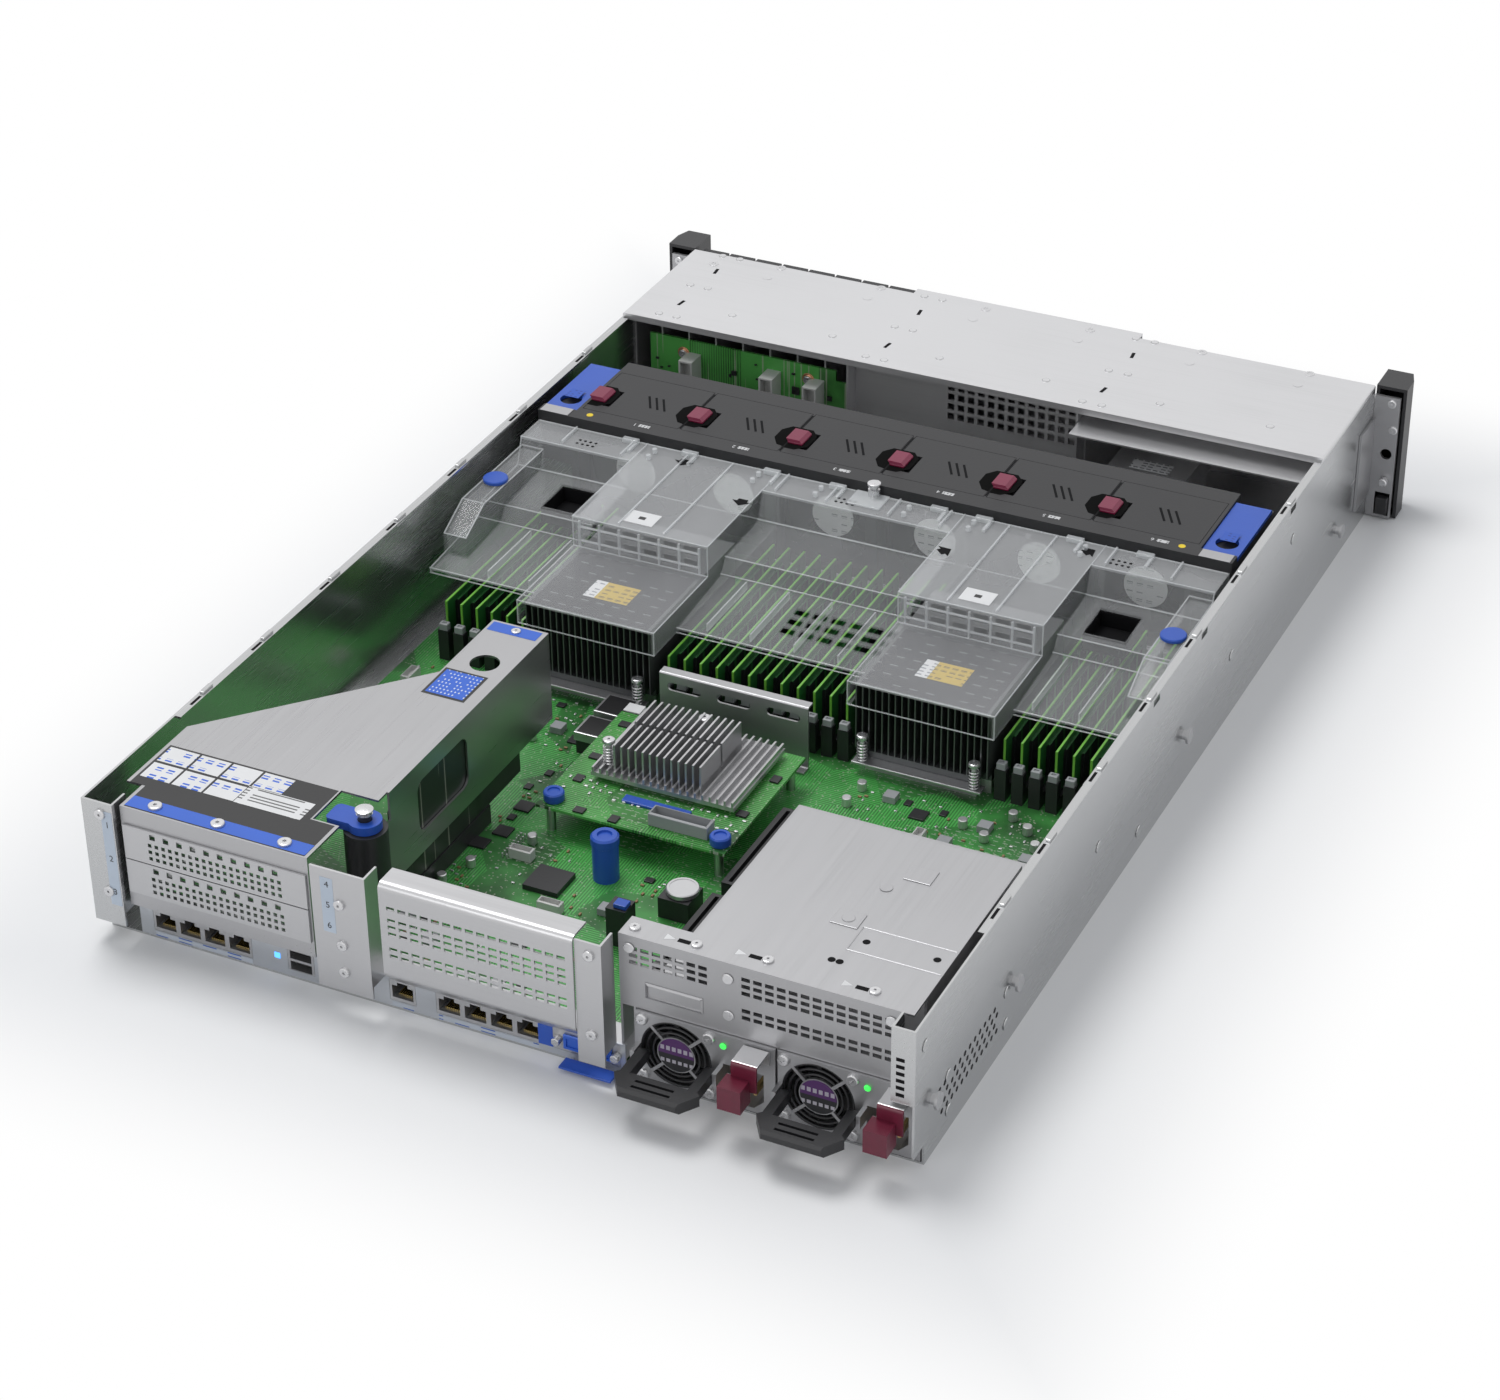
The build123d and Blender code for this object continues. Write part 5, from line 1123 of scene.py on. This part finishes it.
# %% Contacts, tongues, display socket and lamp
gilt = Finish("gilt_contacts", (0.7, 0.5, 0.15), 0.3, 1.0)
strips = (gilt.axis("X") * contacts_per_metre).fraction() > 0.5
gilt.feed("Base Color", gilt.mix(strips, (0.02, 0.02, 0.02), (0.75, 0.55, 0.18)))
gilt.feed("Roughness", strips * 0.1 + 0.25)
jack_x = (189.3, 174.9, 160.5, 146.1, 52.8, 26.8, 12.4, -2.0, -16.4)
jack_floor = 7.2
panel_y = 338
contact_model = slab((-4, 4), (0, 9), (0, 0.5), 0.05)
dealt("jack_contacts", gilt.material, contact_model, [(x, 326, jack_floor) for x in jack_x])
back_model = slab((-5.6, 5.6), (0, 0.4), (0, 7), 0)
dealt("jack_backs", shadow_black, back_model, [(x, 324.2, jack_floor) for x in jack_x])
tongue_model = slab((-5.2, 5.2), (0, 11), (0, 1.6), 0.2)
dealt("usb_tongues", black_plastic, tongue_model, [(110.5, 325.5, z) for z in (8.6, 15.2)])
display = slab((-62, -36), (panel_y, 339.4), (7.0, 15.4), 0.5)
carried(sunk(display, rearward, 1.2, 0.7, area=0.00005), "display_socket", signal_blue)
hex_posts = [bar(2.4, 4.0, (x, 340, 11.2), "Y", 6, 0.3) for x in (-64.6, -33.0)]
grouped("display_posts", screw_steel, hex_posts)
block("locator_lamp", blue_lamp, (122.4, 125.6), (panel_y, 338.3), (10, 13.2), 0.12)

# %% [markdown]
# ## The clear baffle
# What the eye finds on a clear moulding is its edges, because light gathers in them.  Every fold
# and rim of the sheet gets a thin rod of a less transparent plastic, laid from corner to corner:
# a painted highlight standing for the light gathered in the edges.

# %% Rims of the baffle
rim = 0.42
duct_x = 99
duct_z, step_z, foot_z = 77.5, 58.7, 44.4
wall_x = 211.4
fall = [(-78, duct_z), (-72, 62), (-30, 60), (-24, 52), (31, 47.5), (31, foot_z)]
# The rods are painted highlight along the edges of the sheet.
rim_highlights = []
for side in both:
    duct = around(side * duct_x, 83.6)
    for x in duct:
        rim_highlights += rods(rim, (x, -100.7, duct_z), (x, -8, duct_z), (x, -8, step_z),
                     (x, 58, step_z), (x, 58, foot_z))
    for y, z in ((-8, duct_z), (-8, step_z), (58, step_z), (58, foot_z)):
        rim_highlights += rods(rim, (duct[0], y, z), (duct[1], y, z))
    rim_highlights += rods(rim, *[(side * wall_x, y, z) for y, z in fall])
    for x in (197.5, wall_x):
        rim_highlights += rods(rim, (side * x, -78, 72), (side * x, -8, 72), (side * x, 14, 61))
    for y, z in ((-78, 72), (-8, 72), (14, 61), (14, 32.6)):
        rim_highlights += rods(rim, (side * 197.5, y, z), (side * wall_x, y, z))
for low_x, high_x in ((-212, -140.8), (-57.2, 57.2), (140.8, 212)):
    for y, z in fall:
        rim_highlights += rods(rim, (low_x, y, z), (high_x, y, z))
for z in (77.4, 44.6):
    rim_highlights += rods(rim, (-wall_x, -100, z), (wall_x, -100, z))
grouped("baffle_rim_highlights", paler_clear_with_rim_highlight, rim_highlights, "air_baffle")
print("baffle rims:", len(rim_highlights))

# %% Ribs of the baffle
ribs = []
for duct in (duct_x, -duct_x):
    ribs += [slab(around(x, 1.2), (-98, -10), (duct_z, 78.7)) for x in (duct - 14, duct + 14)]
    ribs += [slab(around(duct + (count - 3) * 12.4, 1.2), (-8, -6.4), (60, 76)) for count in range(7)]
    ribs += [slab(around(duct, 74), (-8, -6.6), around(z, 1.0)) for z in (63.5, 72.2)]
ribs += [slab(around(x, 1.2), (-99, -80), (duct_z, 79.5)) for x in (-50, -19, 19, 50, 148, -148, 186, -186)]
ribs += [slab(around(x, 1.0), (-22, 28), (47.6, 52.4)) for x in (-38, -12, 14, 40, 150, 176, -150, -176)]
grouped("baffle_ribs", paler_clear_with_rim_highlight, ribs, "air_baffle")
print("baffle ribs:", len(ribs))

# %% Hooks, pegs, dots and arrows of the baffle
hooks = []
for x in (112, 60, 19, -43, -70, -124, 150, -165):
    hooks.append(slab((x - 5, x + 5), (-99, -95.5), (duct_z, 80.5), 0.4))
    hooks.append(slab((x - 5, x - 3), (-95.5, -86), (duct_z, 79.3), 0.3))
grouped("baffle_hooks", paler_clear_with_rim_highlight, hooks, "air_baffle")
peg_x = (27, -27, 66, -66, 132, -132)
pegs = [bar(1.5, 3, (x, y, 79), corners=16, soft=0.3) for x in peg_x for y in (-92, -84)]
grouped("baffle_pegs", paler_clear_with_rim_highlight, pegs, "air_baffle")
dark_dots = [(x + step * 3.4, y, duct_z) for x in (168, 4, -160) for step in range(4) for y in (-88, -84)]
dealt("baffle_dots", shadow_black, dot(0.9, 0.12, 12), dark_dots, "air_baffle")
arrow = plate([(-3, -2.4), (3, -2.4), (3, 0), (6, 0), (0, 5), (-6, 0), (-3, 0)], thickness=0.1)
arrow_places = level(duct_z, (62, -62), (-62, -58), (112, -90), (-134, -90))
dealt("baffle_arrows", shadow_black, arrow, arrow_places, "air_baffle", (0.0, 2.4))

# %% Stickers, touch pads and the two dark openings of the baffle
sticker_x = (104, -98)
stickers = [slab(around(x, 18), (-28, -15), (duct_z, 77.62), 0.03) for x in sticker_x]
grouped("baffle_stickers", plain_white, stickers, "air_baffle")
sticker_marks = [slab(around(x, 4), (-23, -20), (77.62, 77.7), 0.03) for x in sticker_x]
grouped("baffle_sticker_marks", black_plastic, sticker_marks, "air_baffle")
pads = [bar(7.2, 2.4, (side * 204.4, -34, 73.2), corners=32, soft=0.5) for side in both]
grouped("baffle_touch_pads", blue_plastic, pads, "air_baffle")
ports = []
for side in both:
    across = (side * 152.4, side * 177.2)
    ports.append(slab(across, (-63.4, -36.6), (50, 50.6), 0.1))
    ports += [slab((side * x, side * (x + 0.6)), (-63.4, -36.6), (50, 59.4), 0) for x in (152.4, 176.6)]
    ports += [slab(across, (y, y + 0.6), (50, 59.4), 0) for y in (-63.4, -37.2)]
grouped("baffle_dark_ports", shadow_black, ports, "air_baffle")

# %% The pin between the fan cage and the baffle, on its pad
stem_profile = [(3.4, 0), (3.4, 5), (2.4, 5.4), (2.4, 7), (3.8, 7.4), (3.8, 8.6), (2.6, 9.0)]
turned_pin("baffle_centre_pin", screw_steel, stem_profile, (-3, -98, 77.6), "air_baffle")
block("baffle_centre_pad", paler_clear_with_rim_highlight, (-12, 8), (-100, -84), (duct_z, 78.6), 0.3, "air_baffle")

# %% Fan hubs seen through the clear baffle
hub_ink = (0.42, 0.43, 0.45)
# The hub paper is almost pure white, paler than the other labels: painted light that makes up for the shade
# of the baffle over the hubs.
hub_print_painted_light = printed("hub_print_painted_light", grey(0.97), hub_ink, (6.0, 5.0), (0.6, 0.35), 0.4, 0.5, 1.4, "Z")
for number, fan_x in fan_centres.items():
    hub = bar(12.9, 0.3, (fan_x, -118.8, 46), "Y", 40, 0.1)
    carried(hub, f"fan_{number}_hub_label", hub_print_painted_light, f"fan_module_{number}")

# %% [markdown]
# ## Numbered slots and other rear labels
# Beside the card slots run narrow pale labels with one plain number for each slot.

# %% Slot labels
slot_ink = moulded("slot_ink", (0.50, 0.57, 0.66), 0.5, 400.0)
port_paper, port_blue = (0.50, 0.54, 0.60), (0.02, 0.10, 0.42)
port_ink = printed("port_ink", port_paper, port_blue, (14.4, 3.0), (0.55, 0.5), 0.1, down="Z")
label_y = (rear_face_y, rear_face_y + 0.1)
block("slot_labels", slot_ink, (205.4, 211.8), label_y, (24, 80), 0.02)
block("column_label", slot_ink, (80, 87), label_y, (46, 78), 0.02)
io_strips = [slab(x, (panel_y, 338.1), (1.6, 4.2), 0.02) for x in ((139, 196), (-22, 33), (47, 59))]
grouped("io_strips", port_ink, io_strips)
block("io_blue_patch", blue_plastic, (-30, -22), (panel_y, 338.1), (5, 17), 0.02)
block("pull_out_tag", blue_plastic, (-66, -38), (340.5, 348.5), (2.2, 3.4), 0.3)


# %% Plain numbers
def number_mark(digit, size, place, turn, name, finish, body="chassis"):
    """A plain digit, made from a text that is turned into a mesh."""
    start()
    bpy.ops.object.text_add(location=at(*place), rotation=turn)
    text = bpy.context.object.data
    text.body = str(digit)
    text.size = size * mm
    text.extrude = 0.03 * mm
    text.align_x = "CENTER"
    text.align_y = "CENTER"
    bpy.ops.object.convert(target="MESH")
    return carried(settled(), name, finish, body)


to_the_rear = (math.pi / 2, 0, math.pi)
digit_places = [(208.6, 72), (208.6, 52), (208.6, 32), (83.5, 74), (83.5, 62), (83.5, 50)]
for digit, (x, z) in enumerate(digit_places, start=1):
    number_mark(digit, 5.0, (x, 350.14, z), to_the_rear, f"slot_number_{digit}", black_plastic)
for digit, x in fan_centres.items():
    place = (x - 6, -108, fan_top + 0.06)
    number_mark(digit, 4.0, place, (0, 0, 0), f"fan_number_{digit}", plain_white, "fan_cage")

# %% [markdown]
# ## Marks on the supply cage
# The cage is folded sheet, so its detail is what a press leaves: a pushed-out panel, thin relief
# lines, holes and keyholes.  A dark film a few hundredths thick is enough for a hole.

# %% Fittings of the supply cage
knock_out = slab((-110, -80), (cage_face_y, 336.9), (49.5, 58.5), 0.3)
carried(sunk(knock_out, rearward, 1.2, 0.35), "cage_knock_out", cage_steel)
relief_edges = (((-168, 285), (-168, 304)), ((-168, 304), (-215, 304)), ((-168, 285), (-215, 285)))
relief = [rods(0.35, (*first, cage_top), (*last, cage_top))[0] for first, last in relief_edges]
grouped("cage_relief_lines", cage_steel, relief)
cage_holes = level(cage_top, (-174, 295), (-209, 294), (-165, 314), (-169, 314))
dealt("cage_holes", shadow_black, dot(1.9, 0.08), cage_holes)
dealt("cage_keyholes", shadow_black, slab((3.2, 9.5), (-1.4, 1.4), (0, 0.08), 0.02), top_screws[:3])
dealt("cage_wedges", plain_white, plate([(11, 0), (16, 2.2), (16, -2.2)], thickness=0.08), top_screws[:3])
ladder = [slab((-217.4, -213.2), (rear_face_y, 350.06), (z, z + 2), 0) for z in range(46, 67, 4)]
grouped("column_ladder_vents", shadow_black, ladder)

# %% [markdown]
# ## What stands at the drive bays
# The green backplane carries copper washers, screws and small black chips in the gap over the
# fan cage, and a violet face and a pale label show in the media bay.

# %% Drive backplane and media bay
back_face = -238.9
washer_x = (187, 103)
copper = rolled_sheet("copper", (0.62, 0.30, 0.17), 0.32, grainless, 0.08)
grouped("backplane_washers", copper, [bar(4.0, 0.6, (x, back_face + 0.3, 62), "Y", 32) for x in washer_x])
screw_places = [(x, back_face + 0.6, 62) for x in washer_x]
dealt("backplane_screws", screw_steel, rear_facing(screw(2.7, 1.6)), screw_places)
bumps = []
for _ in range(46):
    x, z = chance.uniform(88, 206), chance.uniform(16, 68)
    off_sockets = min(abs(x - socket_x) for socket_x in (180, 126, 97)) > 8
    if off_sockets and min(abs(x - washer) for washer in washer_x) > 6:
        wide, tall = chance.choice(((2, 1.2), (3, 3), (1.2, 2), (5, 5), (1.6, 0.9)))
        bumps.append(slab(around(x, wide), (back_face, back_face + 1), around(z, tall), 0.1))
grouped("backplane_chips", black_plastic, bumps)
print("backplane chips:", len(bumps))
block("backplane_plug", black_plastic, (138, 152), (back_face, back_face + 8), (30, 42), 0.3)
violet = moulded("violet_side", (0.13, 0.03, 0.10), 0.4)
block("media_box_face", violet, (-146, -98), (-216.2, -215.9), (47, 59), 0.1)
box_label = printed("box_label", (0.70, 0.70, 0.70), (0.2, 0.2, 0.2), (4.0, 3.0), (0.7, 0.4), 0.9)
film("media_box_label", box_label, (-134, -110), (-231, -220), 60.0)

# %% [markdown]
# ## Cable sockets
# Each of the two sockets beside the controller has a steel shell, a black label and a white pull.

# %% Cable sockets at the controller
for number, y in enumerate((75, 98), start=1):
    block(f"cable_shell_{number}", bright_steel, (62.5, 81.5), around(y, 18.4), (13.0, 18.4), 0.4)
    block(f"cable_label_{number}", label_black, (64, 80), around(y, 16), (18.4, 18.55), 0.02)
    block(f"cable_pull_{number}", plain_white, (56, 66), around(y, 8), (19, 20), 0.3)

# %% [markdown]
# ## Tabs along the walls, and the ears
# The cover's catches drop into slots in the hem of each wall, beside small raised tabs.  Round
# dimples are pressed into both walls, and each ear has two screws, a pin and a black catch.

# %% Wall tabs, slots and dimples
hem_top = 84.6
catches = [(side, y) for side in both for y in (-182, -100, -28, 40, 110, 178, 236)]
tabs = [slab(around(side * 220.6, 2.6), (y, y + 9), (hem_top, 86.0), 0.3) for side, y in catches]
grouped("wall_tabs", tray_steel, tabs)
hem_slots = [slab(around(side * 220.0, 1.6), (y + 11, y + 20), (hem_top, 84.66), 0) for side, y in catches]
grouped("hem_slots", shadow_black, hem_slots)
dimple_spots = ((311, 33), (240, 32), (310, 12), (240, 13), (339, 70),
                (120, 40), (-80, 40), (-180, 60), (60, 12))
dimple_places = [(side * 223.0, y, z) for side in both for y, z in dimple_spots]
dealt("wall_dimples", tray_steel, bar(3.4, 0.6, (0, 0, 0), "X", 24, 0.25), dimple_places)

# %% Ear fittings
ear_rear = -326.0
for name, side in sides.items():
    ear_screws = upright(ear_rear, (side * 233.5, 77), (side * 235.5, 60))
    dealt(f"ear_screws_{name}", screw_steel, rear_facing(screw(2.6, 1.2)), ear_screws)
    carried(bar(2.6, 4.4, (side * 233.0, ear_rear + 2.2, 26), "Y", 24, 0.5), f"ear_pin_{name}", screw_steel)
    catch_y = (ear_rear - 1.2, ear_rear + 3.6)
    block(f"ear_catch_{name}", black_plastic, (side * 229.6, side * 236.6), catch_y, (4.6, 15.4), 0.5)
